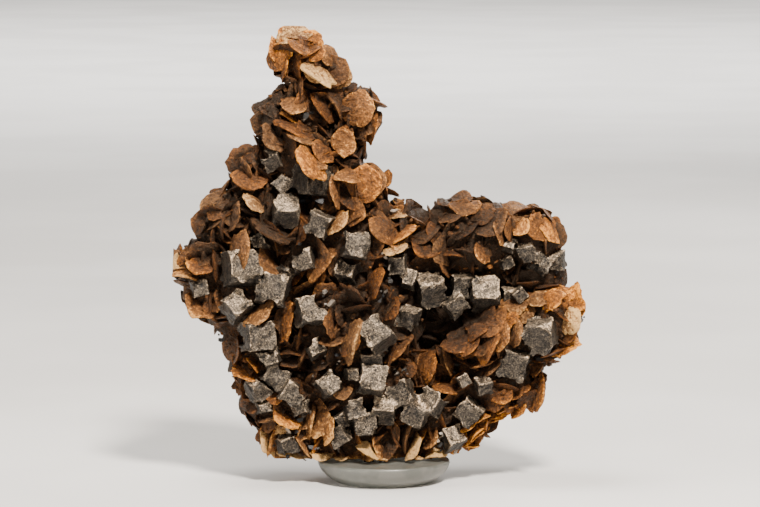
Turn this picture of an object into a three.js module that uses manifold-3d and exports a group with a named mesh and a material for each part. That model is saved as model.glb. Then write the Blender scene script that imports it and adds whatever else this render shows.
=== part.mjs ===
// A hand-sized specimen of galena on siderite, standing on a clear display pad.
// Millimetres, +Z up. The origin is the centre of the pad's underside; the crystals face -Y.
//
// The siderite is one grown piece: a lumpy core with lens-shaped blades fused to it.
// The galena crystals are truncated cubes seated in it. Those that grew into each other are one solid.
import * as THREE from "three";
import { mergeVertices } from "three/addons/utils/BufferGeometryUtils.js";
import Module from "manifold-3d";

const wasm = await Module();
wasm.setup();
const { Manifold, Mesh } = wasm;

// Driving dimensions
const PAD_HEIGHT = 4.4;
const PAD_RADIUS = 13.3;
const PAD_FOOT_RADIUS = 9.5;
const PAD_LIP = 0.5; // rounding of the pad's upper rim
const GAP = 0.3; // clearance between neighbouring solids
const BASE_Z = PAD_HEIGHT + GAP; // where the siderite was broken off flat
const BLADE_THICKNESS = 0.26; // of a blade's length
const BLADE_BREADTH = 0.42; // from a blade's middle to its side, of its length
const CORNER_CUT = 0.18; // of a galena crystal's edge, lost at each of its corners
const SMALL_EDGE = 4.2; // galena crystals smaller than this have whole corners
const LUMP_SWELL = 1.04; // a lump's flat-faced solid is this much larger, so that it fills the lump's outline
const ROOT_DEPTH = 3.4; // how deep a blade is rooted in the core
const HUNG_FROM = 3.2; // a blade standing further forward than this is hung from its upper end
const LARGE = 200; // mm, larger than the whole specimen
const VIEW_DROP = THREE.MathUtils.degToRad(6); // places are read from 6 degrees above the horizon
const FOOT_FRONT = PAD_FOOT_RADIUS * Math.sin(VIEW_DROP); // how far the foot's front edge shows below z = 0

// The core's lumps: centre [x, y, z] and half sizes [x, y, z].
const LUMPS = [
  { at: [-17, 1, 84.5], half: [4.6, 4.2, 5] }, // tip
  { at: [-11.5, 1, 82.5], half: [3.2, 3.4, 3.4] }, // tip, right
  { at: [-15, 2, 75.5], half: [7, 6, 6.5] }, // neck
  { at: [-6, 1.5, 74], half: [5, 4.5, 5.4] }, // neck, right
  { at: [-21.5, 2, 71], half: [4.4, 5, 6.5] }, // neck, left
  { at: [-15, 2, 66], half: [10.5, 8.5, 8] }, // tower
  { at: [-25.5, 3, 62], half: [4.5, 6, 5.5] }, // tower, left
  { at: [-8, 1, 58], half: [8, 8, 7] }, // tower foot, right
  { at: [-24, 3, 52.5], half: [11.5, 9, 9] }, // shoulder
  { at: [-31, 3, 51], half: [5.8, 6.5, 6.8] }, // shoulder, left
  { at: [-34, 3, 43], half: [8, 7, 5.5] }, // left flank
  { at: [-9, 2, 48], half: [14, 10.5, 11] }, // upper centre
  { at: [3, 3, 51], half: [5, 6, 5] }, // saddle
  { at: [-25, 3, 38], half: [11.5, 9.5, 11] }, // left
  { at: [-35.5, 3, 37.5], half: [4.6, 6, 5] }, // left flank, underside
  { at: [-23, 3, 27], half: [8.5, 9, 9.5] }, // lower left
  { at: [-20, 2, 16.5], half: [8.5, 8, 7] }, // left foot
  { at: [-17.5, 1.5, 9.2], half: [6.8, 6, 4.6] }, // left foot, broken corner
  { at: [-7, 2, 33], half: [15, 11.5, 14] }, // centre
  { at: [-6, 2, 19], half: [13.5, 9, 9] }, // lower centre
  { at: [-4, 3, 9], half: [17, 8, 7] }, // foot
  { at: [7, 3, 14], half: [10, 7.5, 7] }, // foot, right
  { at: [17, 3, 12.5], half: [5.5, 5, 4.5] }, // foot, far right
  { at: [11.5, 2.5, 8.3], half: [3.6, 5, 3.8] }, // foot, broken right corner
  { at: [5, 6, 44], half: [9, 8, 8] }, // bridge to the right
  { at: [18, 5, 48.5], half: [12, 8, 7.2] }, // upper right lobe
  { at: [14.5, 4, 53], half: [5.5, 5.5, 3.8] }, // upper right lobe, crest
  { at: [29, 4, 48.5], half: [6, 6.5, 6] }, // upper right lobe, end
  { at: [30, 4, 41], half: [6, 4.5, 4] }, // fold between the right lobes
  { at: [13, 9, 32], half: [12.5, 6.5, 11] }, // floor of the hollow
  { at: [13, 5, 22.5], half: [8, 5.5, 5] }, // sill of the hollow
  { at: [22, 2, 28], half: [8.5, 8.5, 5.5] }, // lower right lobe
  { at: [34, 0.5, 32.5], half: [4.8, 6, 6] }, // lower right lobe, end
  { at: [29.5, 4.5, 31.5], half: [8, 5.5, 6.5] }, // lower right lobe, back
  { at: [32, 1, 28.2], half: [5, 5.5, 4.6] }, // lower right lobe, chin
  { at: [22, 2, 19.5], half: [9.5, 6.5, 5] }, // lower right lobe, underside
  { at: [22, 5.5, 42], half: [6, 4, 3.4] }, // filling between the right lobes
  { at: [29.3, 3.5, 24], half: [3.4, 4, 3.6] }, // filling below the lower right lobe
  { at: [8, 5.5, 27.5], half: [4.5, 4.5, 4.5] }, // filling left of the hollow
];

// Galena crystals by the solid that they belong to, each as seen from the front:
// at [across, up], edge, turns in degrees: spin (anticlockwise), yaw (shows the left side),
// pitch (shows the top), out (how far it stands forward of its seat)
// and cut (share of an edge lost at each corner).
const GALENA = {
  galena_tower: [
    { at: [-14.2, 61.2], edge: 6.2, spin: -4, yaw: 34, pitch: -8, out: 1.6 },
    { at: [-20.2, 60.3], edge: 3.6, spin: 48, yaw: 12, pitch: -10, out: 1.2 },
  ],
  galena_neck: [{ at: [-21.9, 65.3], edge: 3.8, spin: 25, yaw: -20, pitch: 20, out: 0.2 }],
  galena_shoulder: [{ at: [-19.5, 55], edge: 5.2, spin: -8, yaw: 8, pitch: 38, out: 1.6, cut: 0.26 }],
  galena_upper_middle: [{ at: [-12.8, 52.4], edge: 4.7, spin: -22, yaw: -14, pitch: 4, out: 1.8 }],
  galena_saddle: [
    { at: [-5.5, 48.4], edge: 5.3, spin: -8, yaw: 10, pitch: -12, out: 2.2, cut: 0.3 },
    { at: [-1.4, 45.4], edge: 2.6, spin: 30, yaw: 20, pitch: 0, out: 1 },
  ],
  galena_left_of_middle: [
    { at: [-15.8, 45.5], edge: 4.4, spin: 14, yaw: -16, pitch: -10, out: 1.6, cut: 0.28 },
  ],
  galena_wedge: [{ at: [-7, 43.2], edge: 4.2, spin: -24, yaw: -32, pitch: -28, out: 0.8 }],
  galena_great_left: [{ at: [-28.3, 43.7], edge: 6.9, spin: 4, yaw: 24, pitch: -14, out: 1.4, cut: 0.28 }],
  galena_left_pair: [
    { at: [-22, 39.5], edge: 6.3, spin: -12, yaw: -12, pitch: -10, out: 1.8, cut: 0.26 },
    { at: [-19.4, 43.2], edge: 3.6, spin: 30, yaw: -30, pitch: -15, out: 1.4 },
  ],
  galena_left_diamond: [{ at: [-29.3, 36.2], edge: 4.9, spin: 42, yaw: 30, pitch: -18, out: 2 }],
  galena_left_block: [{ at: [-25.2, 30.3], edge: 5.9, spin: 4, yaw: 26, pitch: -6, out: 2 }],
  galena_left_stack: [
    { at: [-22.7, 26], edge: 4, spin: 18, yaw: -10, pitch: -20, out: 1.4 },
    { at: [-21.6, 22.3], edge: 4.7, spin: -38, yaw: 6, pitch: -6, out: 1.8 },
  ],
  galena_left_low: [{ at: [-25, 19.8], edge: 4.4, spin: 12, yaw: 28, pitch: 12, out: 1.2, cut: 0.3 }],
  galena_left_foot: [
    { at: [-18.3, 18.8], edge: 4.6, spin: -32, yaw: 8, pitch: -4, out: 1.6 },
    { at: [-16.4, 15.8], edge: 3.2, spin: 20, yaw: -24, pitch: -24, out: 1.4 },
  ],
  galena_left_foot_small: [{ at: [-24, 16.2], edge: 2.8, spin: 10, yaw: 20, pitch: -10, out: 0.8 }],
  galena_middle: [{ at: [-14.8, 35.3], edge: 5.5, spin: 12, yaw: 22, pitch: -16, out: 2, cut: 0.24 }],
  galena_middle_small: [{ at: [-13.6, 27.8], edge: 3.4, spin: 30, yaw: 16, pitch: -20, out: 1.4 }],
  galena_heart_stack: [
    { at: [-7.9, 32], edge: 4, spin: 8, yaw: 10, pitch: 4, out: 1.6 },
    { at: [-1.4, 30.8], edge: 5.8, spin: 38, yaw: 4, pitch: -24, out: 2.4 },
    { at: [-2.6, 25.2], edge: 4.4, spin: 2, yaw: 4, pitch: 12, out: 1.6 },
  ],
  galena_bright_block: [
    { at: [-2.3, 21.6], edge: 5.4, spin: -8, yaw: 4, pitch: -22, out: 3, cut: 0.1 },
    { at: [-6.4, 22.6], edge: 2.6, spin: 4, yaw: 20, pitch: 0, out: 1.2 },
  ],
  galena_low_middle: [{ at: [-11, 20.6], edge: 4.4, spin: 38, yaw: 18, pitch: -12, out: 1.8 }],
  galena_low_twins: [
    { at: [-5.9, 15.9], edge: 4, spin: 14, yaw: 10, pitch: -6, out: 2 },
    { at: [-3.9, 12.9], edge: 4.6, spin: 3, yaw: 6, pitch: -4, out: 2.4 },
    { at: [-8.4, 13.6], edge: 3.2, spin: 30, yaw: 14, pitch: 10, out: 1.6 },
  ],
  galena_low_wedge: [{ at: [-8.8, 10.4], edge: 3.9, spin: 33, yaw: -14, pitch: -6, out: 2.2, cut: 0.12 }],
  galena_low_right: [
    { at: [0, 15.6], edge: 4.4, spin: 0, yaw: -6, pitch: 40, out: 2.6, cut: 0.12 },
    { at: [3.6, 18.8], edge: 4.9, spin: 24, yaw: -16, pitch: -14, out: 2.4 },
    { at: [6.4, 15], edge: 4.7, spin: -24, yaw: -14, pitch: 10, out: 2.4 },
    { at: [9.7, 17], edge: 4.8, spin: -30, yaw: -36, pitch: -8, out: 2.2 },
  ],
  galena_right_foot: [{ at: [17, 15], edge: 5, spin: -38, yaw: -10, pitch: 8, out: 1.8, cut: 0.24 }],
  galena_ridge: [
    { at: [9.1, 39.5], edge: 5.5, spin: 0, yaw: 20, pitch: 26, out: 4, cut: 0.26 },
    { at: [8.6, 44.9], edge: 3.6, spin: -4, yaw: 24, pitch: 14, out: 3 },
  ],
  galena_hollow_pair: [
    { at: [15.4, 40.4], edge: 4.4, spin: -6, yaw: 14, pitch: 10, out: 5 },
    { at: [14.3, 36.2], edge: 4.2, spin: 32, yaw: 14, pitch: 12, out: 5.6 },
  ],
  galena_bright_top: [{ at: [20, 38.6], edge: 5.8, spin: 2, yaw: 8, pitch: -38, out: 6.4, cut: 0.2 }],
  galena_ledge_pair: [
    { at: [24.9, 38.6], edge: 2.6, spin: 0, yaw: 12, pitch: 16, out: 4.6 },
    { at: [27.2, 38.6], edge: 2.6, spin: 40, yaw: 0, pitch: 10, out: 4 },
  ],
  galena_lobe: [
    { at: [28.5, 46.8], edge: 3.8, spin: 12, yaw: -6, pitch: 10, out: 1.8, cut: 0.3 },
    { at: [31.3, 44.6], edge: 3.8, spin: -28, yaw: 10, pitch: -18, out: 1.6 },
    { at: [34.4, 45.3], edge: 3.6, spin: 8, yaw: -20, pitch: 8, out: 0.8 },
  ],
  galena_lobe_small: [{ at: [25.1, 48.4], edge: 2.6, spin: -20, yaw: 0, pitch: -30, out: 1.2 }],
  galena_lobe_shaded: [{ at: [24.4, 45], edge: 2.4, spin: 20, yaw: 20, pitch: 12, out: 0.8 }],
  galena_great_right: [{ at: [31, 30.4], edge: 6.3, spin: 8, yaw: -16, pitch: 12, out: 2, cut: 0.3 }],
  galena_right_block: [{ at: [26, 24.7], edge: 5.8, spin: -14, yaw: -10, pitch: 6, out: 2.4, cut: 0.12 }],
  galena_right_crumb: [{ at: [15.8, 21.4], edge: 2.4, spin: 30, yaw: 10, pitch: 0, out: 2 }],
  galena_right_shaded: [{ at: [19.8, 20.4], edge: 3.2, spin: 0, yaw: 20, pitch: 30, out: 1.4 }],
  galena_saddle_right: [
    { at: [2.7, 44.6], edge: 3.6, spin: 6, yaw: -10, pitch: 6, out: 3 },
    { at: [4.8, 41.6], edge: 3.4, spin: -22, yaw: -14, pitch: -20, out: 3 },
  ],
  galena_hollow_dark: [{ at: [4.8, 34], edge: 4, spin: -12, yaw: -20, pitch: 14, out: 0.2 }],
  galena_far_left: [{ at: [-36.8, 39.9], edge: 3.2, spin: 12, yaw: 12, pitch: 0, out: 1 }],
  galena_shoulder_small: [{ at: [-24.6, 48.9], edge: 2.8, spin: 24, yaw: -10, pitch: -30, out: 1.2 }],
  galena_broken_right: [{ at: [13.6, 9.6], edge: 4.1, spin: 30, yaw: 34, pitch: -26, out: 1.6, cut: 0.3 }],
  galena_broken_left: [{ at: [-19.4, 8.6], edge: 3.6, spin: 14, yaw: 24, pitch: 12, out: 1.4 }],
  galena_rear_upper: [{ at: [-12, 54], edge: 5.2, spin: 20, yaw: 24, pitch: 14, out: 1.2, rear: true }],
  galena_rear_left: [{ at: [-27, 34], edge: 6, spin: -16, yaw: 12, pitch: -20, out: 1.2, rear: true }],
  galena_rear_middle: [
    { at: [-3, 36], edge: 5.6, spin: 34, yaw: -18, pitch: 10, out: 1.2, rear: true },
    { at: [2, 33.4], edge: 4.4, spin: 6, yaw: 14, pitch: -14, out: 1, rear: true },
  ],
  galena_rear_right: [{ at: [21, 46], edge: 4.8, spin: 10, yaw: -26, pitch: 12, out: 1, rear: true }],
};

// Siderite blades as seen from the front: [across, up, length, width, turn, out].
// width is the apparent one, negative where the blade faces down;
// turn is in degrees, anticlockwise from level;
// out is how far the blade's middle stands forward of the core.
const TOWER_BLADES = [
  [-21, 86.8, 8, 5, 80, 0.8],
  [-17.4, 90, 7.6, 3.8, 5, 0.4],
  [-10.8, 85.8, 5.4, 3.2, -60, 0.8],
  [-13, 82.4, 9, 2.6, -34, 2.4],
  [-8.2, 81.8, 5.8, 2.6, 65, 0.8],
  [-18.6, 80.6, 5, -2, -30, 1],
  [-17.9, 76, 5.6, 2.8, -12, 1.6],
  [-12.2, 75.4, 7, 2.2, -55, 1.2],
  [-9, 76.4, 7.4, 2.6, -60, 0.8],
  [-5.2, 75.4, 7.8, 6.2, 70, 0.8],
  [-2.8, 71.8, 6.8, 3.6, 78, 0],
  [-8, 68.7, 6, 5.6, 90, 2.6],
  [-17.6, 71.4, 8.4, 2, -28, 1],
  [-16.4, 69.8, 6.4, 1.8, -24, 1.2],
  [-21.8, 69.4, 7.4, 2.2, -52, 0.8],
  [-28.2, 65.2, 8, 5.6, 60, 0],
  [-26.8, 61.6, 8, 3.6, -6, 1],
  [-14.4, 64.4, 9, 3, -50, 4.6],
  [-9.6, 58.8, 6.8, 1.8, -80, 1.6],
  [-3.9, 60.5, 8.2, 6.8, 80, 1.4],
];
const LEFT_BLADES = [
  [-33.6, 57, 6.8, 4.2, 30, 0],
  [-36.4, 52.8, 6, 4.2, 65, 0.4],
  [-25.8, 56.8, 5.6, 1.9, -38, 1.4],
  [-22.2, 51.2, 10, 2.6, -28, 1.2],
  [-28.6, 46.8, 9.6, 4, 84, 5],
  [-23, 45, 6.4, 2.8, -55, 1.4],
  [-36, 47.2, 7, -4, 15, 0.6],
  [-36.6, 44.2, 6.2, 2.6, -8, 1],
  [-39, 42.6, 6.4, 1.9, -12, 0.4],
  [-37, 36, 6.8, 3.4, -38, 0.8],
  [-24.8, 35, 7.8, 2.2, 42, 2.2],
  [-19.6, 33, 9, 3, 75, 2],
  [-30.4, 28.6, 7, 4, 75, 0.2],
  [-27.4, 23, 6.8, 2.4, -18, 1.2],
  [-18, 27.4, 5.8, 1.7, -5, 1.2],
  [-19.6, 13.8, 6.8, 1.8, -36, 1.4],
  [-22.8, 10, 6, 2.6, -62, 1],
];
const MIDDLE_BLADES = [
  [-5.8, 55, 5.8, 4, 75, 1],
  [-9.2, 52.8, 6.2, 2, 50, 1.4],
  [-0.2, 51.4, 7.4, 4, -50, 1.4],
  [3.6, 50.4, 7.2, 1.2, 34, 3],
  [-1.7, 40.8, 7.2, 2.4, 68, 2],
  [-12.6, 44.8, 8.4, 3, 50, 1.2],
  [-10.6, 32.8, 6, 1.6, -80, 1.2],
  [-6.2, 29.4, 9.6, 2.6, 76, 3.6],
  [2.6, 27.8, 8, 2.6, 42, 0.6],
  [-6.2, 38.2, 7.6, -2.6, -42, 0.2],
  [1.4, 35.6, 6, 2, 60, 0.4],
  [8.2, 23.6, 8.8, 3.8, 76, 3],
  [12.4, 19.7, 5.8, 1.6, -12, 2],
  [-12.8, 13.6, 8.4, 4, 80, 2],
  [-15, 13.4, 8, 2, 82, 1.4],
  [5.8, 7.8, 5.6, 1.8, 62, 1],
  [9.4, 9.8, 5.8, 1.5, 60, 0.4],
];
const RIGHT_BLADES = [
  [8.4, 48, 7.4, 3, -20, 1],
  [7.6, 50.6, 8, 2.4, 14, 1],
  [11.7, 44.6, 5.8, 1.4, -65, 1.6],
  [16.2, 45.6, 8.4, -5, -20, 0],
  [16.2, 56, 6.4, 3, 0, 0],
  [19.8, 54.4, 5.4, 4, 20, 0.6],
  [26.4, 55, 8, 3.2, -4, 0.4],
  [32.8, 51.8, 7.4, 2.6, -50, 0],
  [30.6, 52, 6.2, 4, -70, 0.6],
  [21.8, 52.4, 7.4, 2.6, 34, 0.8],
  [28.6, 41.6, 6.4, -4, 10, -0.6],
  [21.2, 33, 9.4, 3, 36, 1.8],
  [15, 28.8, 7.4, 3.4, 12, 3],
  [12.8, 25.4, 6.2, 1.8, -75, 2.6],
  [20.8, 28.2, 8.2, 3, 64, 1.6],
  [26, 31, 6.4, 2, 86, 1.4],
  [22.6, 34.6, 4.6, 2.4, 30, 2.6],
  [28.2, 34.6, 5, 2.8, 35, 1.6],
  [31.2, 37.6, 5, 3, 10, 1.4],
  [21.6, 24.4, 6.4, 2, 45, 1.2],
  [33.6, 37.4, 5.6, 3.4, 40, 0.6],
  [37.6, 36.8, 5.6, 2.2, -15, 0.8],
  [37, 33.2, 6.4, 4.2, 70, 0.8],
  [36, 28.4, 6.8, 4, 20, 0.6],
  [30.4, 18.6, 8.6, 4.4, 80, 0.4],
  [27.2, 16.2, 6.2, 1.7, 66, 0.8],
  [23, 15, 6.2, 1.6, 12, 0.6],
  [18, 10.6, 5.6, 2.6, 40, 0.6],
];
const BLADES = [...TOWER_BLADES, ...LEFT_BLADES, ...MIDDLE_BLADES, ...RIGHT_BLADES];

// Blades that clothe the sides and the back, spread evenly over each lump
const SIDE_BLADE_SPACING = 19; // mm between neighbours
const SIDE_BLADE_LENGTH = [8.5, 11.5];
const SIDE_BLADE_LEAN = [25, 75]; // degrees off the lump's surface
const SIDE_BLADE_DEPTH = 0.95; // of a lump's half size, from its middle to the blade's
const FRONT_LIMIT = 0.05; // a lump's surface facing further forward than this is left to the blades above
const FOOT_CLEARANCE = 1.5; // mm from the broken foot up to the lowest side blade's middle
const GOLDEN_ANGLE = Math.PI * (3 - Math.sqrt(5));

const SIDERITE = new THREE.MeshStandardMaterial({ color: 0x6b4023, roughness: 0.6, metalness: 0 });
const GALENA_GREY = new THREE.MeshStandardMaterial({ color: 0x86817b, roughness: 0.5, metalness: 0.6 });
const CLEAR = new THREE.MeshStandardMaterial({
  color: 0xb9bfba,
  roughness: 0.35,
  metalness: 0,
  transparent: true,
  opacity: 0.55,
});

// A closed geometry as a solid that can be joined and cut
function solid(geometry) {
  const bare = geometry.clone();
  bare.deleteAttribute("normal");
  bare.deleteAttribute("uv");
  const merged = mergeVertices(bare, 1e-4);
  return new Manifold(
    new Mesh({
      numProp: 3,
      vertProperties: new Float32Array(merged.attributes.position.array),
      triVerts: new Uint32Array(merged.index.array),
    }),
  );
}

function geometryOf(manifold) {
  const { numProp, vertProperties, triVerts, numVert } = manifold.getMesh();
  const places = new Float32Array(numVert * 3);
  for (let i = 0; i < numVert; i++) {
    places.set(vertProperties.subarray(i * numProp, i * numProp + 3), i * 3);
  }
  const geometry = new THREE.BufferGeometry();
  geometry.setAttribute("position", new THREE.BufferAttribute(places, 3));
  geometry.setIndex(new THREE.BufferAttribute(triVerts, 1));
  geometry.computeVertexNormals();
  return geometry;
}

const joined = (solids) => solids.reduce((all, next) => all.add(next));

// The largest body of a solid: crumbs that a cut leaves loose are dropped
function largest(manifold) {
  return manifold.decompose().reduce((a, b) => (b.volume() > a.volume() ? b : a));
}

// A repeatable number from 0 to 1 for a whole number k
function scatter(k) {
  const wave = Math.sin(k * 12.9898) * 43758.5453;
  return wave - Math.floor(wave);
}

// How far a point is outside a lump: under 1 is inside
function reach(lump, point) {
  return Math.hypot(
    (point.x - lump.at[0]) / lump.half[0],
    (point.y - lump.at[1]) / lump.half[1],
    (point.z - lump.at[2]) / lump.half[2],
  );
}

// Height in the front view to height in the part's frame, for a point at depth y
const heightOf = (up, y) => (up - FOOT_FRONT - y * Math.sin(VIEW_DROP)) / Math.cos(VIEW_DROP);

// Depth of the core's surface at a place in the front view, on its front or its rear, or null beside it
function surfaceDepth(across, up, rear) {
  let depth = null;
  for (const lump of LUMPS) {
    const dx = (across - lump.at[0]) / lump.half[0];
    const dz = (heightOf(up, lump.at[1]) - lump.at[2]) / lump.half[2];
    const left = 1 - dx * dx - dz * dz;
    if (left <= 0) continue;
    const y = lump.at[1] + (rear ? 1 : -1) * lump.half[1] * Math.sqrt(left);
    if (depth === null || (rear ? y > depth : y < depth)) depth = y;
  }
  return depth;
}

// The same, and beside the core the depth of its nearest rim
function seatDepth(across, up, rear = false) {
  const near = LUMPS.reduce((a, b) => {
    const gap = ({ at, half }) => Math.hypot(across - at[0], up - at[2]) - Math.min(half[0], half[2]);
    return gap(b) < gap(a) ? b : a;
  });
  const steps = 20;
  for (let i = 0; i < steps; i++) {
    const share = i / steps;
    const x = across + (near.at[0] - across) * share;
    const z = up + (near.at[2] - up) * share;
    const y = surfaceDepth(x, z, rear);
    if (y !== null) return y;
  }
  return near.at[1];
}

// A lens-shaped blade with its long axis along `along` and its flat sides facing `facing` and away from it.
// `root` draws one of its points back into the core: the rearmost, or the highest where the blade is hung.
function blade(centre, along, facing, length, sides, root = null, hung = false) {
  const x = along.clone().normalize();
  const z = facing.clone().addScaledVector(x, -facing.dot(x)).normalize();
  const y = new THREE.Vector3().crossVectors(z, x);
  const thick = (length * BLADE_THICKNESS) / 2;
  const points = [centre.clone().addScaledVector(z, thick), centre.clone().addScaledVector(z, -thick)];
  for (let i = 0; i < sides; i++) {
    const a = (2 * Math.PI * i) / sides;
    const rim = centre.clone().addScaledVector(x, (length / 2) * Math.cos(a));
    points.push(rim.addScaledVector(y, length * BLADE_BREADTH * Math.sin(a)));
  }
  if (root) {
    const rank = (p) => (hung ? p.z : p.dot(root));
    points.reduce((a, b) => (rank(b) > rank(a) ? b : a)).add(root);
  }
  const faces = [];
  for (let i = 0; i < sides; i++) {
    const here = 2 + i;
    const next = 2 + ((i + 1) % sides);
    faces.push(0, here, next, 1, next, here);
  }
  const geometry = new THREE.BufferGeometry();
  geometry.setAttribute("position", new THREE.Float32BufferAttribute(points.flatMap((p) => p.toArray()), 3));
  geometry.setIndex(faces);
  return solid(geometry);
}

function placedBlade([across, up, length, width, turn, out]) {
  const y = seatDepth(across, up) - out;
  const centre = new THREE.Vector3(across, y, heightOf(up, y));
  const angle = THREE.MathUtils.degToRad(turn);
  const along = new THREE.Vector3(Math.cos(angle), 0, Math.sin(angle));
  const beside = new THREE.Vector3(-Math.sin(angle), 0, Math.cos(angle));
  if (beside.z < 0) beside.negate();
  if (width < 0) beside.negate();
  // The apparent width sets how far the blade is turned away from the viewer
  const lean = Math.acos(Math.min(1, Math.abs(width) / (2 * BLADE_BREADTH * length)));
  const facing = new THREE.Vector3(0, -Math.cos(lean), 0).addScaledVector(beside, Math.sin(lean));
  const sides = lean > Math.PI / 3 ? 4 : 5; // one seen on edge needs fewer
  const root = new THREE.Vector3(0, out + ROOT_DEPTH, 0);
  return blade(centre, along, facing, length, sides, root, out > HUNG_FROM);
}

// Surface of an ellipsoid, by Thomsen's formula
function ellipsoidArea([a, b, c]) {
  const power = 1.6;
  const mean = ((a * b) ** power + (a * c) ** power + (b * c) ** power) / 3;
  return 4 * Math.PI * mean ** (1 / power);
}

// Evenly spread blades on the sides and the back of the core
function sideBlades() {
  const made = [];
  LUMPS.forEach((lump, n) => {
    const [a, b, c] = lump.half;
    const centre = new THREE.Vector3(...lump.at);
    const count = Math.round(ellipsoidArea(lump.half) / SIDE_BLADE_SPACING ** 2);
    for (let i = 0; i < count; i++) {
      const k = n * 100 + i;
      const height = 1 - (2 * i + 1) / count;
      const ring = Math.sqrt(1 - height * height);
      const angle = i * GOLDEN_ANGLE;
      const d = new THREE.Vector3(ring * Math.cos(angle), ring * Math.sin(angle), height);
      const out = new THREE.Vector3(d.x / a, d.y / b, d.z / c).normalize();
      const place = new THREE.Vector3(a, b, c).multiply(d).multiplyScalar(SIDE_BLADE_DEPTH).add(centre);
      if (out.y < FRONT_LIMIT || place.z < BASE_Z + FOOT_CLEARANCE) continue;
      if (LUMPS.some((other) => other !== lump && reach(other, place) < SIDE_BLADE_DEPTH)) continue;
      const length = THREE.MathUtils.lerp(...SIDE_BLADE_LENGTH, scatter(k));
      const swing = scatter(k + 0.5) * 2 * Math.PI;
      const level = new THREE.Vector3(0, 0, 1).cross(out);
      if (level.lengthSq() < 1e-6) level.set(1, 0, 0);
      level.normalize();
      const upright = new THREE.Vector3().crossVectors(out, level);
      const along = level.multiplyScalar(Math.cos(swing)).addScaledVector(upright, Math.sin(swing));
      const across = new THREE.Vector3().crossVectors(out, along);
      const lean = THREE.MathUtils.degToRad(THREE.MathUtils.lerp(...SIDE_BLADE_LEAN, scatter(k + 0.25)));
      const facing = out.clone().multiplyScalar(Math.cos(lean)).addScaledVector(across, Math.sin(lean));
      made.push(blade(place, along, facing, length, 4));
    }
  });
  return made;
}

function lumpSolid({ at, half }) {
  const ball = new THREE.SphereGeometry(LUMP_SWELL, 5, 4).rotateX(Math.PI / 2);
  return solid(ball.scale(...half).translate(...at));
}

// A cube of the given edge with its corners cut off
function crystalGeometry(edge, cut) {
  const h = edge / 2;
  const t = h * (1 - 2 * cut);
  const corners = [];
  for (const sx of [-1, 1]) {
    for (const sy of [-1, 1]) {
      for (const sz of [-1, 1]) {
        corners.push([sx * t, sy * h, sz * h], [sx * h, sy * t, sz * h], [sx * h, sy * h, sz * t]);
      }
    }
  }
  return hullGeometry(corners.map((p) => new THREE.Vector3(...p)));
}

// The faces of a convex set of points: each plane through its points that leaves the rest on one side
function hullGeometry(points) {
  const faces = new Map();
  const edge = new THREE.Vector3();
  for (let i = 0; i < points.length; i++) {
    for (let j = i + 1; j < points.length; j++) {
      for (let k = j + 1; k < points.length; k++) {
        const normal = edge.copy(points[j]).sub(points[i]).clone();
        normal.cross(points[k].clone().sub(points[i]));
        if (normal.length() < 1e-9) continue;
        normal.normalize();
        const sides = points.map((p) => normal.dot(p.clone().sub(points[i])));
        if (sides.some((s) => s > 1e-6) && sides.some((s) => s < -1e-6)) continue;
        if (normal.dot(points[i]) < 0) normal.negate();
        const ring = points.filter((p) => Math.abs(normal.dot(p.clone().sub(points[i]))) < 1e-6);
        faces.set(normal.toArray().map((v) => v.toFixed(4) + 0).join(), { normal, ring });
      }
    }
  }
  const places = [];
  for (const { normal, ring } of faces.values()) {
    const middle = ring.reduce((sum, p) => sum.add(p), new THREE.Vector3()).divideScalar(ring.length);
    const x = ring[0].clone().sub(middle).normalize();
    const y = new THREE.Vector3().crossVectors(normal, x);
    const angle = (p) => Math.atan2(p.clone().sub(middle).dot(y), p.clone().sub(middle).dot(x));
    const turned = [...ring].sort((p, q) => angle(p) - angle(q));
    for (let i = 1; i + 1 < turned.length; i++) {
      for (const p of [turned[0], turned[i], turned[i + 1]]) places.push(p.x, p.y, p.z);
    }
  }
  const geometry = new THREE.BufferGeometry();
  geometry.setAttribute("position", new THREE.Float32BufferAttribute(places, 3));
  return geometry;
}

// Where a galena crystal sits: its turns and its place
function seat({ at, spin, yaw, pitch, out, rear = false }) {
  const y = seatDepth(...at, rear) - (rear ? -out : out);
  const degrees = THREE.MathUtils.degToRad;
  return new THREE.Matrix4()
    .makeRotationY(-degrees(spin))
    .multiply(new THREE.Matrix4().makeRotationX(degrees(pitch)))
    .multiply(new THREE.Matrix4().makeRotationZ(degrees(yaw)))
    .setPosition(at[0], y, heightOf(at[1], y));
}

function crystal(c) {
  const { edge, cut = CORNER_CUT } = c;
  const whole = edge < SMALL_EDGE;
  const shape = whole ? new THREE.BoxGeometry(edge, edge, edge) : crystalGeometry(edge, cut);
  return solid(shape.applyMatrix4(seat(c)));
}

// The pocket that a crystal sits in, with clearance all round
function pocket(c) {
  const edge = c.edge + 2 * GAP;
  return solid(new THREE.BoxGeometry(edge, edge, edge).applyMatrix4(seat(c)));
}

// The galena solids, each cut back where it would run into one made before it
function galenaSolids() {
  const made = [];
  const above = solid(new THREE.BoxGeometry(LARGE, LARGE, LARGE).translate(0, 0, BASE_Z + LARGE / 2));
  for (const [name, crystals] of Object.entries(GALENA)) {
    let body = joined(crystals.map(crystal)).intersect(above);
    for (const other of made) {
      const nearby = other.pocket.intersect(body);
      if (!nearby.isEmpty()) body = body.subtract(other.pocket);
    }
    made.push({ name, body: largest(body), pocket: joined(crystals.map(pocket)) });
  }
  return made;
}

function sideriteSolid(galena) {
  const below = solid(new THREE.BoxGeometry(LARGE, LARGE, LARGE).translate(0, 0, BASE_Z - LARGE / 2));
  let body = joined([...LUMPS.map(lumpSolid), ...BLADES.map(placedBlade), ...sideBlades()]).subtract(below);
  for (const { pocket } of galena) body = body.subtract(pocket);
  return largest(body);
}

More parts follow.
